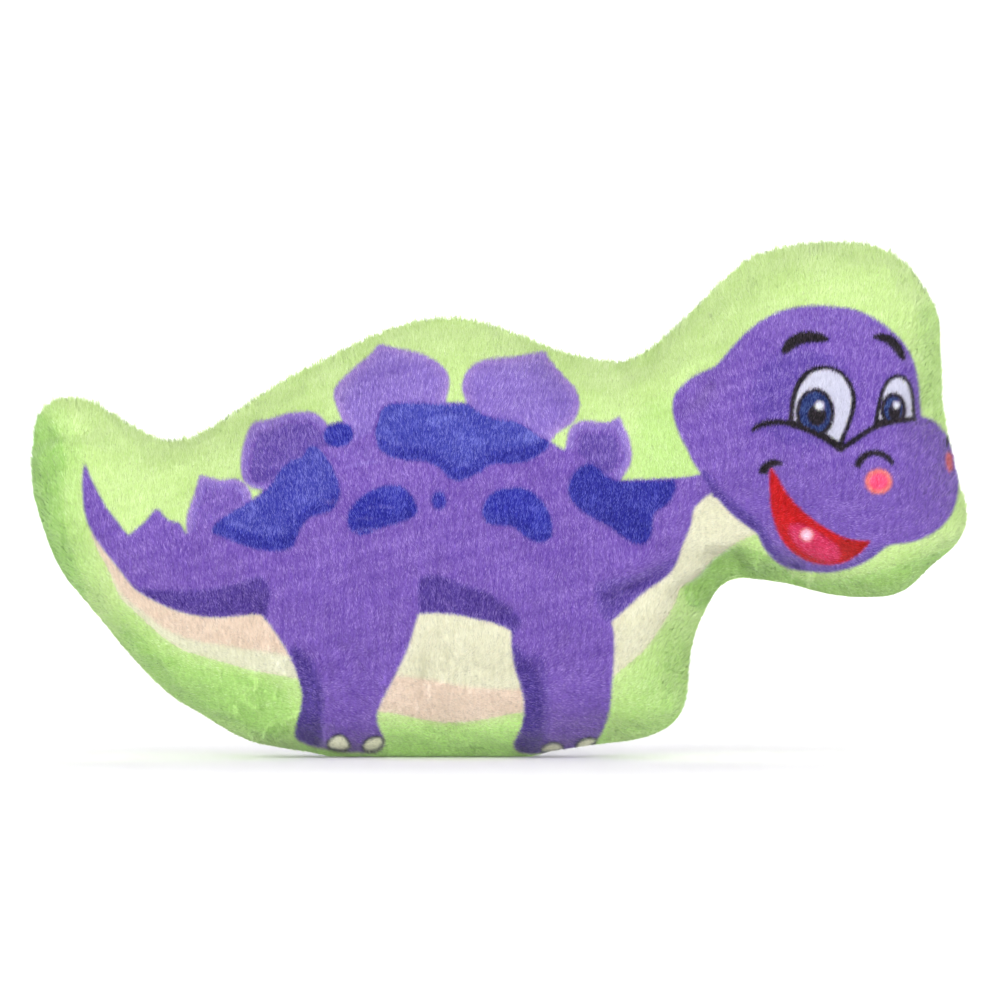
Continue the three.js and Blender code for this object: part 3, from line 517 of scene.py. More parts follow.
# How full the cover stands at each place: a membrane held along the seam line, under even pressure
CELL, GX0, GZ0 = 0.8, -96.0, -4.0
GW, GH = int(192 / CELL), int(108 / CELL)
inside = flat_fill(EDGE, GX0, GZ0, GH, GW, CELL)
phi = np.zeros((GH, GW))
k = CELL ** 2
for _ in range(2200):
    near = np.zeros_like(phi)
    near[1:-1, 1:-1] = phi[:-2, 1:-1] + phi[2:, 1:-1] + phi[1:-1, :-2] + phi[1:-1, 2:]
    phi = np.where(inside, (near + k) / (4 + k / 15.0 ** 2), 0)


def grid_at(g, p):
    x = np.clip((p[:, 0] - GX0) / CELL, 0, GW - 1.001)
    y = np.clip((p[:, 1] - GZ0) / CELL, 0, GH - 1.001)
    i, j = x.astype(int), y.astype(int)
    s, t = x - i, y - j
    return (g[j, i] * (1 - s) + g[j, i + 1] * s) * (1 - t) + (g[j + 1, i] * (1 - s) + g[j + 1, i + 1] * s) * t


def edge_distance(p, line=None):
    line = EDGE if line is None else line
    out = np.empty(len(p))
    for a in range(0, len(p), 4000):
        out[a:a + 4000] = np.sqrt(((p[a:a + 4000, None] - line[None]) ** 2).sum(2).min(1))
    return out


def dome(p):
    """Half thickness of the stuffed toy, in mm."""
    d = edge_distance(p)
    return np.where(d < 0.05, 0, 1.5 * np.sqrt(np.maximum(grid_at(phi, p), 0.35 * d)))


def waves(p, scale, seed, octaves=3):
    """Smooth seeded noise in about -1..1 for points in 2 or 3 dimensions."""
    rng = np.random.default_rng(seed)
    p = np.asarray(p, float)
    out, amp, total = np.zeros(len(p)), 1.0, 0.0
    for _ in range(octaves):
        for _ in range(5):
            d = rng.normal(size=p.shape[1])
            d *= 2 * np.pi / scale / np.linalg.norm(d) * rng.uniform(0.7, 1.3)
            out += amp * np.sin(p @ d + rng.uniform(0, 7)) / 5 ** 0.5 * 1.2
        total += amp
        amp *= 0.55
        scale *= 0.47
    return out / total


def triangulate(edge, spacing, seed):
    rng = np.random.default_rng(seed)
    lo, hi = edge.min(0), edge.max(0)
    rows = np.arange(lo[1], hi[1], spacing * 0.866)
    pts = []
    for r, z in enumerate(rows):
        xs = np.arange(lo[0] + (r % 2) * spacing / 2, hi[0], spacing)
        pts.append(np.stack([xs, np.full(len(xs), z)], 1))
    pts = np.vstack(pts)
    pts += rng.uniform(-0.12, 0.12, pts.shape) * spacing
    ok = flat_fill(edge, GX0, GZ0, GH, GW, CELL)
    near = ok[np.clip(((pts[:, 1] - GZ0) / CELL).round().astype(int), 0, GH - 1), np.clip(((pts[:, 0] - GX0) / CELL).round().astype(int), 0, GW - 1)]
    pts = pts[near & (edge_distance(pts, edge) > spacing * 0.62)]
    n = len(edge)
    co = [Vector(p) for p in np.vstack([edge, pts]).tolist()]
    verts, _, faces, *_ = geometry.delaunay_2d_cdt(co, [(i, (i + 1) % n) for i in range(n)], [], 1, 1e-5)
    return np.array([v[:] for v in verts]), [list(f) for f in faces]


def new_mesh(name, verts, faces):
    me = bpy.data.meshes.new(name)
    me.from_pydata([tuple(v) for v in np.asarray(verts, float).tolist()], [], [tuple(f) for f in faces])
    me.update()
    ob = bpy.data.objects.new(name, me)
    bpy.context.scene.collection.objects.link(ob)
    return ob


def coords(me):
    a = np.empty(len(me.vertices) * 3, np.float32)
    me.vertices.foreach_get("co", a)
    return a.reshape(-1, 3).astype(float)


def set_coords(me, a):
    me.vertices.foreach_set("co", np.asarray(a, np.float32).ravel())
    me.update()


def bake_modifiers(ob):
    dg = bpy.context.evaluated_depsgraph_get()
    made = bpy.data.meshes.new_from_object(ob.evaluated_get(dg))
    ob.modifiers.clear()
    ob.data = made
    return ob


seam_line = EDGE[::2]
BASE_P, BASE_F = triangulate(seam_line, 2.3, 7)
N_RIM = len(seam_line)
BASE_D = edge_distance(BASE_P, seam_line)
BASE_H = dome(BASE_P)
BASE_H[:N_RIM] = 0

# creases and hollows: points in artwork units, depth and width in mm, for the front
CREASES = [
    ([(36, 443), (50, 437), (67, 427)], 1.5, 2.0), ([(70, 440), (85, 433), (104, 423)], 1.15, 1.9),
    ([(672, 598), (686, 590), (700, 585), (716, 582)], 1.7, 1.8), ([(612, 610), (632, 594), (652, 583), (672, 572)], 1.6, 2.6),
    ([(700, 560), (716, 563), (732, 568), (746, 574)], 1.5, 2.6), ([(680, 414), (688, 401), (699, 390), (714, 383)], 1.5, 2.6),
    ([(640, 352), (652, 372), (668, 392)], 0.5, 3.0), ([(755, 532), (745, 548), (738, 566)], 0.5, 2.2),
    ([(346, 466), (380, 455), (420, 450)], 0.30, 3.0), ([(318, 500), (335, 515), (350, 532)], 0.30, 2.2),
    ([(372, 590), (384, 588), (398, 589)], 0.20, 1.6), ([(100, 480), (118, 470), (140, 466)], 0.3, 3.0),
    ([(560, 590), (580, 606), (596, 626)], 0.35, 3.0), ([(205, 432), (222, 446), (236, 464)], 0.25, 3.0),
]
BACK_CREASES = [
    ([(40, 450), (58, 443), (80, 430)], 0.9, 2.0), ([(640, 350), (660, 372), (684, 390)], 0.9, 2.8),
    ([(690, 588), (708, 584), (728, 578)], 1.6, 2.0), ([(640, 596), (664, 582), (690, 566)], 0.8, 2.6),
    ([(300, 470), (340, 480), (390, 476)], 0.35, 3.4), ([(180, 470), (196, 486), (208, 506)], 0.45, 2.8),
    ([(520, 600), (556, 610), (590, 604)], 0.35, 3.2), ([(800, 560), (820, 548), (846, 546)], 0.5, 2.6),
]


def art_xy(co):
    """Artwork place of each point, in mm in and artwork units out; the same on both faces."""
    k = EYE_DIST / (EYE_DIST - np.abs(co[:, 1]))
    return ART_CX + 0.0 + co[:, 0] * U * k, 500.0 - (co[:, 2] - EYE_Z) * U * k


def crease_depth(u, v, creases):
    out = np.zeros(len(u))
    for pts, depth, width in creases:
        c = curve(pts, closed=False, step=2.0)
        s = np.linspace(0, 1, len(c))
        d2 = (u[:, None] - c[None, :, 0]) ** 2 + (v[:, None] - c[None, :, 1]) ** 2
        near = d2.argmin(1)
        d = np.sqrt(d2[np.arange(len(u)), near]) * S
        taper = np.sin(np.pi * np.clip(0.06 + 0.88 * s[near], 0, 1)) ** 0.7
        out += depth * taper * (np.exp(-(d / width) ** 2) - 0.30 * np.exp(-((d - 2.0 * width) / (1.1 * width)) ** 2))
    return out


def cover(name, side, seed, creases):
    """One printed cover: cut to the outline, stuffed tight by a cloth simulation, then creased."""
    rng = np.random.default_rng(seed)
    h = BASE_H * 0.955 + 0.0
    wide = 8.0 * np.exp(-np.maximum(BASE_P[:, 1], 0) / 9.0) * np.clip(1 - np.abs((BASE_P[:, 0] - REST_X) / 32.0) ** 3, 0, 1)
    start = np.stack([BASE_P[:, 0], side * (h + 0), BASE_P[:, 1]], 1)
    faces = [f if side < 0 else f[::-1] for f in BASE_F]
    ob = new_mesh(name, start * 0.01, faces)
    if not len(ob.data.polygons) or (ob.data.polygons[len(faces) // 2].normal.y * side < 0):
        ob.data.flip_normals()
    co = start
    pins = ob.vertex_groups.new(name="seam")
    pins.add([int(i) for i in np.nonzero(BASE_D < 0.4)[0]], 1.0, "REPLACE")
    m = ob.modifiers.new("cloth", "CLOTH")
    c = m.settings
    c.quality = 6
    c.mass = 0.25
    c.vertex_group_mass = "seam"
    c.tension_stiffness = c.compression_stiffness = 22
    c.shear_stiffness = 8
    c.bending_stiffness = 0.35
    c.tension_damping = c.compression_damping = 12
    c.air_damping = 3
    c.shrink_min = c.shrink_max = -0.035
    c.use_pressure = True
    c.uniform_pressure_force = 3.2
    c.effector_weights.gravity = 0
    m.collision_settings.use_collision = False
    m.collision_settings.use_self_collision = False
    m.point_cache.frame_start, m.point_cache.frame_end = 1, 26
    for f in range(1, 25):
        bpy.context.scene.frame_set(f)
    bake_modifiers(ob)
    bpy.context.scene.frame_set(1)
    co = coords(ob.data) * 100
    move = co - start
    far = np.linalg.norm(move, axis=1)
    co = start + move * np.minimum(1, 3.2 / np.maximum(far, 1e-6))[:, None]
    co[:N_RIM] = start[:N_RIM]
    # a little slack is smoothed out, so only real folds stay
    near = [[] for _ in range(len(co))]
    for f in faces:
        for a, b in zip(f, f[1:] + f[:1]):
            near[a].append(b)
            near[b].append(a)
    for _ in range(4):
        mean = np.array([co[n].mean(0) if n else co[i] for i, n in enumerate(near)])
        mean[:N_RIM] = co[:N_RIM]
        co = 0.55 * co + 0.45 * mean
    # the stuffed body keeps its own fullness: scaled so that the toy is as thick as it was made
    co[:, 1] = side * np.maximum(0, side * co[:, 1])
    top = np.abs(co[:, 1]).max()
    co[:, 1] *= 20.2 / top
    co[:, 1] += side * wide * np.clip(BASE_D / 2.5, 0, 1) * 0.30
    set_coords(ob.data, co)
    ob.modifiers.new("smooth", "SUBSURF").levels = 2
    ob.modifiers["smooth"].boundary_smooth = "ALL"
    bake_modifiers(ob)
    co = coords(ob.data)
    nrm = np.empty(len(co) * 3, np.float32)
    ob.data.vertices.foreach_get("normal", nrm)
    nrm = nrm.reshape(-1, 3).astype(float)
    if (nrm[:, 1] * side).mean() < 0:
        ob.data.flip_normals()
        nrm = -nrm
    flat = co[:, [0, 2]]
    d = edge_distance(flat)
    u, v = art_xy(co)
    grow_in = np.clip(d / 2.0, 0, 1)
    # fibre stuffing shows as soft lumps, and the seam gathers the cloth into short puckers
    lump = 0.42 * waves(co, 26, seed, 3) + 0.08 * waves(co, 7, seed + 1, 2)
    around = np.arctan2(flat[:, 1] - 45, flat[:, 0]) * 70
    pucker = 0.26 * np.exp(-((d - 2.2) / 2.8) ** 2) * waves(np.stack([flat[:, 0], flat[:, 1]], 1), 8.5, seed + 2, 2)
    sink = crease_depth(u, v, creases)
    co += nrm * ((lump + pucker - sink) * grow_in)[:, None]
    # it stands on its lower edge, pressed flat there
    z = co[:, 2]
    press = np.clip(1 - np.abs((co[:, 0] - REST_X) / REST_HALF) ** 4, 0, 1)
    co[:, 2] = np.where(z < 1.6, np.maximum(z - press * np.clip(1.6 - z, 0, 1.6) * 0.9, 0.12), z)
    set_coords(ob.data, co)
    ob.data.polygons.foreach_set("use_smooth", np.ones(len(ob.data.polygons), bool))
    return ob


ART = draw_art()
front = cover("front_cover", -1, 11, CREASES)
back = cover("back_cover", 1, 23, BACK_CREASES)


# ---------------------------------------------------------------- materials
def principled(name, **sockets):
    m = bpy.data.materials.new(name)
    m.use_nodes = True
    b = m.node_tree.nodes["Principled BSDF"]
    for key, value in sockets.items():
        b.inputs[key.replace("_", " ").title().replace("Ior", "IOR")].default_value = value
    return m, m.node_tree, b


def link(t, a, b):
    t.links.new(a, b)


def plush_backing(name, seed):
    """The knitted ground under the pile: printed colour, rows of loops, fibre mottling."""
    m, t, b = principled(name, roughness=0.95, sheen_weight=0.25, sheen_roughness=0.5)
    col = t.nodes.new("ShaderNodeVertexColor")
    col.layer_name = "print"
    co = t.nodes.new("ShaderNodeTexCoord")
    knit = t.nodes.new("ShaderNodeTexWave")
    knit.wave_type, knit.bands_direction = "BANDS", "X"
    knit.inputs["Scale"].default_value = 185
    knit.inputs["Distortion"].default_value = 2.2
    knit.inputs["Detail"].default_value = 3
    knit.inputs["Detail Scale"].default_value = 3
    fibre = t.nodes.new("ShaderNodeTexNoise")
    fibre.inputs["Scale"].default_value = 1900 + seed
    fibre.inputs["Detail"].default_value = 4
    stretch = t.nodes.new("ShaderNodeMapping")
    stretch.inputs["Scale"].default_value = (1, 1, 0.35)
    link(t, co.outputs["Object"], stretch.inputs["Vector"])
    link(t, stretch.outputs["Vector"], fibre.inputs["Vector"])
    link(t, co.outputs["Object"], knit.inputs["Vector"])
    mix = t.nodes.new("ShaderNodeMix")
    mix.data_type, mix.blend_type = "RGBA", "MULTIPLY"
    ramp = t.nodes.new("ShaderNodeValToRGB")
    ramp.color_ramp.elements[0].position, ramp.color_ramp.elements[0].color = 0.30, (0.62, 0.62, 0.64, 1)
    ramp.color_ramp.elements[1].position, ramp.color_ramp.elements[1].color = 0.70, (1.06, 1.06, 1.06, 1)
    mix.inputs["Factor"].default_value = 0.8
    link(t, fibre.outputs["Fac"], ramp.inputs["Fac"])
    link(t, col.outputs["Color"], mix.inputs["A"])
    link(t, ramp.outputs["Color"], mix.inputs["B"])
    link(t, mix.outputs["Result"], b.inputs["Base Color"])
    add = t.nodes.new("ShaderNodeMath")
    add.operation = "ADD"
    link(t, knit.outputs["Fac"], add.inputs[0])
    link(t, fibre.outputs["Fac"], add.inputs[1])
    bump = t.nodes.new("ShaderNodeBump")
    bump.inputs["Strength"].default_value = 0.6
    bump.inputs["Distance"].default_value = 0.0003
    link(t, add.outputs["Value"], bump.inputs["Height"])
    link(t, bump.outputs["Normal"], b.inputs["Normal"])
    return m


def to_metres(ob):
    set_coords(ob.data, coords(ob.data) * 0.001)


def paint_print(ob):
    co = coords(ob.data)
    u, v = art_xy(co)
    c = look_up(ART, u, v)
    a = ob.data.color_attributes.new("print", "FLOAT_COLOR", "POINT")
    a.data.foreach_set("color", np.hstack([c, np.ones((len(c), 1))]).astype(np.float32).ravel())


# ---------------------------------------------------------------- the pile
PILE_LEN, PILE_WIDE = 0.86, 0.125


def linear_to_level(c):
    return np.where(c <= 0.0031308, 12.92 * c, 1.055 * np.maximum(c, 1e-9) ** (1 / 2.4) - 0.055)


def level_to_linear(c):
    return np.where(c <= 0.04045, c / 12.92, ((c + 0.055) / 1.055) ** 2.4)


def scatter(ob, count, seed):
    """Roots of the strands, evenly over the cloth by area."""
    rng = np.random.default_rng(seed)
    me = ob.data
    me.calc_loop_triangles()
    n = len(me.loop_triangles)
    tri = np.empty(n * 3, np.int32)
    me.loop_triangles.foreach_get("vertices", tri)
    tri = tri.reshape(-1, 3)
    co = coords(me)
    nrm = np.empty(len(co) * 3, np.float32)
    me.vertices.foreach_get("normal", nrm)
    nrm = nrm.reshape(-1, 3).astype(float)
    a, b, c = co[tri[:, 0]], co[tri[:, 1]], co[tri[:, 2]]
    area = np.linalg.norm(np.cross(b - a, c - a), axis=1) / 2
    cum = np.cumsum(area)
    at = (np.arange(count) + rng.uniform(0, 1, count)) / count * cum[-1]
    pick = np.clip(np.searchsorted(cum, at), 0, n - 1)
    r1, r2 = np.sqrt(rng.uniform(0, 1, count)), rng.uniform(0, 1, count)
    w = np.stack([1 - r1, r1 * (1 - r2), r1 * r2], 1)
    p = (co[tri[pick]] * w[..., None]).sum(1)
    m = (nrm[tri[pick]] * w[..., None]).sum(1)
    m /= np.linalg.norm(m, axis=1)[:, None]
    return p, m, rng


def strands(ob, side, count, seed):
    """Each strand is one thin tapering sliver that leans up the nap."""
    p, m, rng = scatter(ob, count, seed)
    flat = p[:, [0, 2]]
    d = edge_distance(flat)
    # the nap runs up the toy, brushed a little this way and that
    swirl = (0.24 * waves(p, 17, seed + 3, 3) + 0.10 * waves(p, 2.6, seed + 4, 2)) * (1 - 0.6 * np.clip(-m[:, 2] * 1.6, 0, 1)) + rng.normal(0, 0.16, count)
    nap = np.stack([np.sin(swirl), np.zeros(count), np.cos(swirl)], 1)
    # underneath it is combed along the seam
    along_seam = np.stack([-m[:, 2], np.zeros(count), m[:, 0]], 1)
    along_seam /= np.maximum(1e-6, np.linalg.norm(along_seam, axis=1))[:, None]
    along_seam *= np.where(along_seam[:, 0] * 0.3 + along_seam[:, 2] < 0, -1, 1)[:, None]
    w = np.clip((-m[:, 2] - 0.05) * 2.2, 0, 1)[:, None]
    nap = nap * (1 - w) + along_seam * w * 1.2 + rng.normal(0, 0.14, (count, 3)) * w
    nap -= m * (nap * m).sum(1)[:, None]
    length = np.linalg.norm(nap, axis=1)
    flatness = np.clip(length, 0, 1)
    nap /= np.maximum(length, 1e-6)[:, None]
    tuft = waves(p * [1, 1, 0.45], 2.1, seed + 5, 2)
    # under the toy the pile lies short and flat; along the top it stands and frays
    under = np.clip(-m[:, 2] * 1.6, 0, 1)
    lean = np.radians(52 + 20 * under + (5 * waves(p, 9, seed + 6, 2) + 8 * tuft) * (1 - 0.7 * under) + rng.normal(0, 10, count)) * flatness
    lean = np.clip(lean, 0, np.radians(84))
    way = m * np.cos(lean)[:, None] + nap * np.sin(lean)[:, None]
    # at the seam the pile of both covers closes over the join
    rim = np.exp(-(d / 0.9) ** 2)[:, None]
    way[:, 1] *= (1 - 0.5 * rim[:, 0])
    way /= np.linalg.norm(way, axis=1)[:, None]
    long = PILE_LEN * (1 + 0.18 * tuft + rng.normal(0, 0.14, count))
    long = np.clip(long, 0.55, 1.6) * (1 - 0.18 * under)
    fray = np.exp(-(d / 1.6) ** 2) * np.clip(0.4 + m[:, 2], 0, 1)
    long *= 1 + fray * (0.30 + 0.55 * waves(p, 1.5, seed + 12, 1))
    across = np.cross(way, m)
    across /= np.maximum(1e-6, np.linalg.norm(across, axis=1))[:, None]
    turn = rng.normal(0, 0.5, count)
    face = np.cross(across, way)
    across = across * np.cos(turn)[:, None] + face * np.sin(turn)[:, None]
    half = 0.5 * PILE_WIDE * rng.uniform(0.8, 1.25, count)
    root = p - m * 0.06
    a = root - across * half[:, None]
    b = root + across * half[:, None]
    tip = p + way * long[:, None]
    tri = np.stack([a, b, tip], 1)
    tri[..., 2] = np.maximum(tri[..., 2], 0.02)
    g = np.cross(tri[:, 1] - tri[:, 0], tri[:, 2] - tri[:, 0])
    wrong = (g * m).sum(1) < 0
    tri[wrong] = tri[wrong][:, [1, 0, 2]]
    g[wrong] *= -1
    g /= np.maximum(1e-12, np.linalg.norm(g, axis=1))[:, None]
    # shading follows the cloth, a little of each strand's own turn on top
    bend = m * 0.80 + g * 0.25 + rng.normal(0, 0.10, (count, 3))
    bend /= np.linalg.norm(bend, axis=1)[:, None]
    mid = p + way * (long * 0.62)[:, None]
    colour = look_up(ART, *art_xy(mid))
    streak = waves(p * [1, 1, 0.28], 1.1, seed + 8, 2)
    light = linear_to_level(colour).mean(1)
    # deep dyes show the paler fibre tips most, and blue is rubbed a little pale in patches
    speck = np.clip(2.35 - 2.35 * light, 0.42, 1.75)
    blue = np.clip((colour[:, 2] - 3.2 * colour[:, 0]) * 3.0, 0, 1)
    rub = np.clip(waves(p * [0.5, 1, 1.8], 5.0, seed + 11, 3) - 0.05, 0, 1) * blue
    tone = 0.06 * streak * np.clip(speck, 0, 1) + 0.03 * waves(p, 12, seed + 9, 2) + rng.normal(0, 0.10, count) * speck * (1 + 0.35 * blue) + 0.24 * rub - 0.03 * blue
    return tri, bend, colour, tone, p


def palette(samples, n, rounds=14):
    """Print colours the pile is dyed with, found by grouping the artwork's own colours."""
    rng = np.random.default_rng(5)
    x = linear_to_level(samples)
    # groups start spread out: each new one at the sample furthest from the others
    mids = [x[0]]
    d = ((x - mids[0]) ** 2).sum(1)
    for _ in range(n - 1):
        mids.append(x[d.argmax()])
        d = np.minimum(d, ((x - mids[-1]) ** 2).sum(1))
    mids = np.array(mids)
    for _ in range(rounds):
        who = ((x[:, None] - mids[None]) ** 2).sum(2).argmin(1)
        for i in range(n):
            if (who == i).any():
                mids[i] = x[who == i].mean(0)
    return mids


def cut_into(name, tri, normals, index, mats, keep):
    t, m, k = tri[keep], normals[keep], index[keep]
    n = len(t)
    me = bpy.data.meshes.new(name)
    me.vertices.add(n * 3)
    me.loops.add(n * 3)
    me.polygons.add(n)
    me.vertices.foreach_set("co", (t.reshape(-1, 3) * 0.001).astype(np.float32).ravel())
    me.loops.foreach_set("vertex_index", np.arange(n * 3, dtype=np.int32))
    me.polygons.foreach_set("loop_start", np.arange(0, n * 3, 3, dtype=np.int32))
    me.polygons.foreach_set("loop_total", np.full(n, 3, np.int32))
    used = np.unique(k)
    for j in used:
        me.materials.append(mats[j])
    me.polygons.foreach_set("material_index", np.searchsorted(used, k).astype(np.int32))
    me.polygons.foreach_set("use_smooth", np.ones(n, bool))
    me.update(calc_edges=True)
    me.validate()
    me.normals_split_custom_set(np.repeat(m, 3, axis=0).astype(np.float32))
    ob = bpy.data.objects.new(name, me)
    bpy.context.scene.collection.objects.link(ob)
    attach(ob, "root")
    return ob


FRONT_N, BACK_N = ((430000, 330000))
COLOURS, TONES = 48, (-0.20, -0.06, 0.06, 0.20)
grown = [(-1,) + strands(front, -1, FRONT_N, 41), (1,) + strands(back, 1, BACK_N, 59)]
sample = np.vstack([g[3][::37] for g in grown])
NAMED = [GREEN, SHADE_GREEN, PAINTED_LIGHT_GREEN, CREAM, PINK, PURPLE, SHADE, PLATE, RIM, BLUE, SOFT_BLUE, SHADE_BLUE, BLACK]
MIDS = np.vstack([np.array(NAMED) / 255, palette(sample, COLOURS - len(NAMED))])
pile_mats = []
for i, c in enumerate(MIDS):
    for j, t in enumerate(TONES):
        # a dark strand is also a deeper one, and a light strand a paler one
        lin = level_to_linear(np.clip(c, 0.02, 1)) ** (1 - t * 1.9) * (1 + 0.4 * t)
        m, _, _ = principled(f"pile_{i:02d}_{j}", base_color=(*map(float, lin), 1), roughness=0.82, sheen_weight=0.35, sheen_roughness=0.45,
                             specular_ior_level=0.2)
        pile_mats.append(m)
for side, tri, nrm, colour, tone, p in grown:
    rng = np.random.default_rng(77 + side)
    x = linear_to_level(colour) + rng.normal(0, 0.012, colour.shape)
    who = np.empty(len(x), np.int64)
    for a in range(0, len(x), 40000):
        who[a:a + 40000] = ((x[a:a + 40000, None] - MIDS[None]) ** 2).sum(2).argmin(1)
    steps = np.digitize(tone, (np.array(TONES)[1:] + np.array(TONES)[:-1]) / 2)
    index = who * len(TONES) + steps
    cuts = (-1e9, -28.0, 22.0, 1e9)
    for part, lo, hi in zip(("tail", "middle", "head"), cuts, cuts[1:]):
        keep = (p[:, 0] >= lo) & (p[:, 0] < hi)
        cut_into(f"pile_{'front' if side < 0 else 'back'}_{part}", tri, nrm, index, pile_mats, keep)

for ob, node, slot_name, seed in ((front, "front_panel", "printed_plush", 0), (back, "back_panel", "printed_plush_back", 37)):
    paint_print(ob)
    to_metres(ob)
    ob.data.materials.clear()
    ob.data.materials.append(plush_backing(slot_name, seed))
    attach(ob, "root")
    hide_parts(node)


# ---------------------------------------------------------------- seam allowances, turned inside
def strip_object(name, rings, closed=True):
    n = len(rings[0])
    v = np.vstack(rings) * 0.001
    f = []
    for r in range(len(rings) - 1):
        for i in range(n if closed else n - 1):
            j = (i + 1) % n
            f.append((r * n + i, r * n + j, (r + 1) * n + j, (r + 1) * n + i))
    return new_mesh(name, v, f)


def lift(p2, y):
    return np.stack([p2[:, 0], np.full(len(p2), y), p2[:, 1]], 1)


for side, slot_name, name in ((-1, "printed_plush", "front_allowance"), (1, "printed_plush_back", "back_allowance")):
    rings = []
    for by, y in ((0.15, 0.30), (1.2, 0.28), (2.6, 0.26), (4.7, 0.30), (4.75, 0.9), (3.2, 1.15), (1.6, 1.2), (0.7, 1.1)):
        q = inset(seam_line, by)
        wob = 0.05 * waves(q, 9, 90 + side, 2)
        rings.append(lift(q, 0) + np.stack([np.zeros(len(q)), side * (y + wob), np.zeros(len(q))], 1))
    ob = strip_object(name, rings)
    m, t, b = principled(name, roughness=0.9)
    n1 = t.nodes.new("ShaderNodeTexNoise")
    n1.inputs["Scale"].default_value = 1400
    r1 = t.nodes.new("ShaderNodeValToRGB")
    r1.color_ramp.elements[0].color = (0.42, 0.60, 0.24, 1)
    r1.color_ramp.elements[1].color = (0.66, 0.82, 0.44, 1)
    link(t, n1.outputs["Fac"], r1.inputs["Fac"])
    link(t, r1.outputs["Color"], b.inputs["Base Color"])
    ob.data.materials.append(m)
    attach(ob, "root")


# ---------------------------------------------------------------- threads
def tube(points, radius, sides=6):
    """A tube along 3-D points, in mm."""
    p = np.asarray(points, float)
    t = np.gradient(p, axis=0)
    t /= np.linalg.norm(t, axis=1)[:, None]
    ref = np.array([0, 1.0, 0])
    n1 = np.cross(t, ref)
    n1 /= np.maximum(1e-9, np.linalg.norm(n1, axis=1))[:, None]
    n2 = np.cross(t, n1)
    a = np.arange(sides) / sides * 2 * np.pi
    ring = (n1[:, None] * np.cos(a)[None, :, None] + n2[:, None] * np.sin(a)[None, :, None]) * radius + p[:, None]
    v = ring.reshape(-1, 3)
    f = []
    for i in range(len(p) - 1):
        for j in range(sides):
            k2 = (j + 1) % sides
            f.append((i * sides + j, i * sides + k2, (i + 1) * sides + k2, (i + 1) * sides + j))
    f.append(tuple(range(sides))[::-1])
    f.append(tuple((len(p) - 1) * sides + j for j in range(sides)))
    return v, f


def two_ply(points, radius):
    p = np.asarray(points, float)
    t = np.gradient(p, axis=0)
    s = np.r_[0, np.cumsum(np.linalg.norm(np.diff(p, axis=0), axis=1))]
    t /= np.linalg.norm(t, axis=1)[:, None]
    n1 = np.cross(t, [0, 1.0, 0])
    n1 /= np.maximum(1e-9, np.linalg.norm(n1, axis=1))[:, None]
    n2 = np.cross(t, n1)
    V, F = [], []
    for ply in (0, 1):
        w = s / 0.95 * 2 * np.pi + ply * np.pi
        q = p + (n1 * np.cos(w)[:, None] + n2 * np.sin(w)[:, None]) * radius * 0.45
        v, f = tube(q, radius * 0.55, 5)
        base = sum(len(x) for x in V)
        V.append(v)
        F += [tuple(i + base for i in g) for g in f]
    return np.vstack(V), F


def thread_material():
    m, t, b = principled("sewing_thread", roughness=0.55, sheen_weight=0.3)
    n1 = t.nodes.new("ShaderNodeTexNoise")
    n1.inputs["Scale"].default_value = 2600
    n1.inputs["Detail"].default_value = 3
    r1 = t.nodes.new("ShaderNodeValToRGB")
    r1.color_ramp.elements[0].position, r1.color_ramp.elements[0].color = 0.3, (0.40, 0.60, 0.22, 1)
    r1.color_ramp.elements[1].position, r1.color_ramp.elements[1].color = 0.7, (0.60, 0.80, 0.38, 1)
    link(t, n1.outputs["Fac"], r1.inputs["Fac"])
    link(t, r1.outputs["Color"], b.inputs["Base Color"])
    bump = t.nodes.new("ShaderNodeBump")
    bump.inputs["Strength"].default_value = 0.5
    bump.inputs["Distance"].default_value = 0.0001
    link(t, n1.outputs["Fac"], bump.inputs["Height"])
    link(t, bump.outputs["Normal"], b.inputs["Normal"])
    return m


THREAD = thread_material()
fine = inset(EDGE, 2.7)
arc = np.r_[0, np.cumsum(np.hypot(*np.diff(np.vstack([fine, fine[:1]]), axis=0).T))]
gap_at = arc[np.argmin((fine[:, 0] + 70.5) ** 2 + (fine[:, 1] - 18.0) ** 2)]


def along(s):
    s = np.mod(s, arc[-1])
    return np.stack([np.interp(s, arc, np.r_[fine[:, k], fine[0, k]]) for k in (0, 1)], 1)


for side, name in ((-1, "seam_needle_thread"), (1, "seam_bobbin_thread")):
    s = np.arange(gap_at + 22.5, gap_at + arc[-1] - 22.5, 0.25)
    q = along(s)
    dip = 1.55 - 0.55 * np.abs(np.cos(np.pi * s / 2.5)) ** 6
    v, f = two_ply(np.stack([q[:, 0], side * dip, q[:, 1]], 1), 0.2)
    ob = new_mesh(name + "_stitches", v * 0.001, f)
    ob.data.materials.append(THREAD)
    ob.data.polygons.foreach_set("use_smooth", np.ones(len(ob.data.polygons), bool))
    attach(ob, "root")
    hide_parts(name)

# the gap the toy was stuffed through is drawn shut by hand: a ladder stitch from fold to fold
edge_arc = np.r_[0, np.cumsum(np.hypot(*np.diff(np.vstack([EDGE, EDGE[:1]]), axis=0).T))]
edge_gap = edge_arc[np.argmin((EDGE[:, 0] + 70.5) ** 2 + (EDGE[:, 1] - 18.0) ** 2)]
out_dir = outward(EDGE)


def on_edge(s):
    s = np.mod(s, edge_arc[-1])
    p = np.stack([np.interp(s, edge_arc, np.r_[EDGE[:, k], EDGE[0, k]]) for k in (0, 1)], 1)
    n = np.stack([np.interp(s, edge_arc, np.r_[out_dir[:, k], out_dir[0, k]]) for k in (0, 1)], 1)
    return p, n


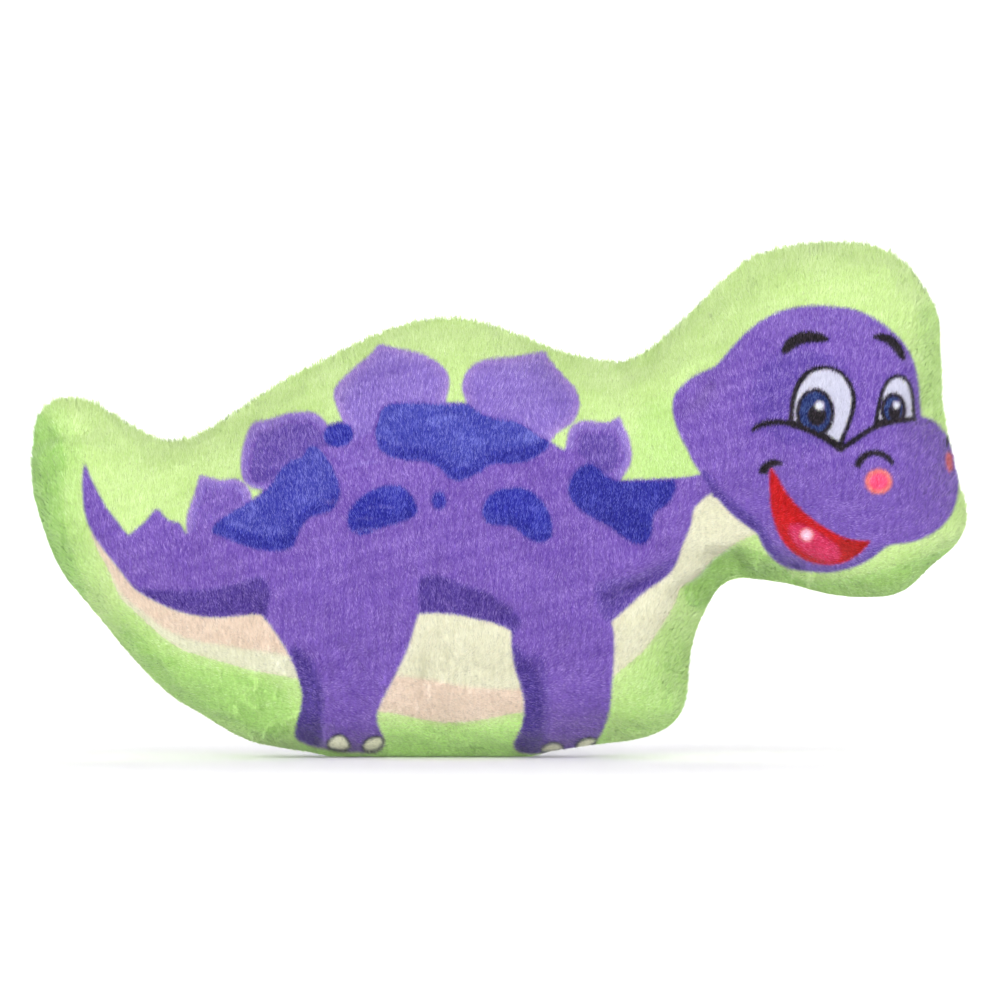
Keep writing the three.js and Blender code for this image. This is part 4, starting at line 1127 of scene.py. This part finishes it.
pts = []
for i, s0 in enumerate(np.arange(edge_gap - 21, edge_gap + 21, 3.0)):
    s1 = s0 + 3.0 + 0.5 * math.sin(i * 2.3)
    side = -1 if i % 2 else 1
    for t in np.linspace(0, 1, 12, endpoint=False):
        p, n = on_edge(np.array([s0 + (s1 - s0) * t * 0.92]))
        y = side * 0.75 if t < 0.72 else side * 0.75 * math.cos((t - 0.72) / 0.28 * math.pi)
        rise = 0.02 if t >= 0.72 else 0.02 - 1.0 * math.sin(t / 0.72 * math.pi)
        pts.append([p[0, 0] + n[0, 0] * rise, y, p[0, 1] + n[0, 1] * rise])
v, f = two_ply(np.array(pts), 0.2)
ob = new_mesh("closing_ladder_stitch", v * 0.001, f)
ob.data.materials.append(THREAD)
ob.data.polygons.foreach_set("use_smooth", np.ones(len(ob.data.polygons), bool))
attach(ob, "root")
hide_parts("closing_thread")


# ---------------------------------------------------------------- the filling
fp, ff = triangulate(inset(EDGE, 5.4)[::4], 4.0, 3)
rim_n = len(EDGE[::4])
fd = edge_distance(fp, inset(EDGE, 5.4)[::4])
fh = np.maximum(0.0, dome(fp) - 2.0) * np.clip(fd / 4, 0, 1) ** 0.6 * 0.93
fl = 1 + 0.06 * waves(fp, 14, 71, 3)
inner = [i for i in range(len(fp)) if i >= rim_n]
remap = {i: len(fp) + k for k, i in enumerate(inner)}
fv = np.vstack([np.stack([fp[:, 0], -fh * fl, fp[:, 1]], 1), np.stack([fp[inner, 0], (fh * fl)[inner], fp[inner, 1]], 1)])
rest = fp[:, 1]
fv[:, 2] = np.maximum(fv[:, 2], 2.2)
faces = [f for f in ff] + [[remap.get(i, i) for i in f][::-1] for f in ff]
filling = new_mesh("fibre_filling", fv, faces)
filling.modifiers.new("smooth", "SUBSURF").levels = 2
bake_modifiers(filling)
co = coords(filling.data)
nrm = np.empty(len(co) * 3, np.float32)
filling.data.vertices.foreach_get("normal", nrm)
co += nrm.reshape(-1, 3) * (0.35 * waves(co, 4.5, 72, 3))[:, None]
set_coords(filling.data, co * 0.001)
filling.data.polygons.foreach_set("use_smooth", np.ones(len(filling.data.polygons), bool))
m, t, b = principled("fibre_filling", roughness=0.7, sheen_weight=0.6, sheen_roughness=0.4)
n1 = t.nodes.new("ShaderNodeTexNoise")
n1.inputs["Scale"].default_value = 420
n1.inputs["Detail"].default_value = 8
n1.inputs["Distortion"].default_value = 2.5
r1 = t.nodes.new("ShaderNodeValToRGB")
r1.color_ramp.elements[0].position, r1.color_ramp.elements[0].color = 0.35, (0.62, 0.62, 0.62, 1)
r1.color_ramp.elements[1].position, r1.color_ramp.elements[1].color = 0.65, (0.90, 0.90, 0.89, 1)
link(t, n1.outputs["Fac"], r1.inputs["Fac"])
link(t, r1.outputs["Color"], b.inputs["Base Color"])
bump = t.nodes.new("ShaderNodeBump")
bump.inputs["Strength"].default_value = 0.8
bump.inputs["Distance"].default_value = 0.0005
link(t, n1.outputs["Fac"], bump.inputs["Height"])
link(t, bump.outputs["Normal"], b.inputs["Normal"])
filling.data.materials.append(m)
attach(filling, "root")
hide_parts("filling")

# ---------------------------------------------------------------- floor, light and camera
profile = [(0.0, 0.0), (0.5, 0.0), (1.2, 0.0), (1.8, 0.0), (2.3, 0.05), (2.7, 0.25), (2.95, 0.6), (3.05, 1.1), (3.1, 1.8), (3.1, 3.2)]
sv, sf, seg = [(0, 0, 0)], [], 64
for r, z in profile[1:]:
    for i in range(seg):
        a = 2 * math.pi * i / seg
        sv.append((r * math.cos(a), r * math.sin(a), z))
for i in range(seg):
    sf.append((0, 1 + i, 1 + (i + 1) % seg))
for k in range(len(profile) - 2):
    for i in range(seg):
        a, b2 = 1 + k * seg + i, 1 + k * seg + (i + 1) % seg
        sf.append((a, a + seg, b2 + seg, b2))
floor = new_mesh("studio_floor", np.array(sv), sf)
floor.data.polygons.foreach_set("use_smooth", np.ones(len(floor.data.polygons), bool))
m, t, b = principled("studio_white", base_color=(0.93, 0.93, 0.93, 1), roughness=0.9)
floor.data.materials.append(m)
floor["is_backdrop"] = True

world = bpy.data.worlds.new("studio")
bpy.context.scene.world = world
world.use_nodes = True
world.node_tree.nodes["Background"].inputs["Color"].default_value = (1.0, 1.0, 1.0, 1)
world.node_tree.nodes["Background"].inputs["Strength"].default_value = 0.36


def area(name, at, look, size, power):
    l = bpy.data.lights.new(name, "AREA")
    l.shape, l.size, l.energy = "DISK", size, power
    o = bpy.data.objects.new(name, l)
    o.location = at
    o.rotation_euler = (Vector(look) - Vector(at)).to_track_quat("-Z", "Y").to_euler()
    bpy.context.scene.collection.objects.link(o)
    return o


area("key", (0.05, -1.00, 1.30), (0, 0, 0.05), 0.9, 3.4)
area("fill_left", (-0.5, -1.45, 0.11), (0, 0, 0.04), 0.2, 5.5)
area("fill_right", (0.6, -1.45, 0.11), (0, 0, 0.04), 0.2, 5.5)
area("rear", (0.4, 1.3, 1.2), (0, 0, 0.05), 1.2, 3.8)
for x, y in ((-1, -1), (1, -1), (-1, 1), (1, 1)):
    area(f"wall_{x}_{y}", (x * 1.0, y * 1.0, 1.9), (x * 3.0, y * 3.0, 0.8), 1.2, 41)

cam = bpy.data.cameras.new("camera")
cam.sensor_width = 36
cam.lens = 36 * 1.5 / 0.1923077
cam.clip_start, cam.clip_end = 0.05, 20
camera = bpy.data.objects.new("camera", cam)
camera.location = (0.00012, -1.5, EYE_Z * 0.001)
camera.rotation_euler = (math.pi / 2, 0, 0)
bpy.context.scene.collection.objects.link(camera)
bpy.context.scene.camera = camera
bpy.context.scene.view_settings.view_transform = "Standard"
bpy.context.scene.view_settings.exposure = 0.0

lo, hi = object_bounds()
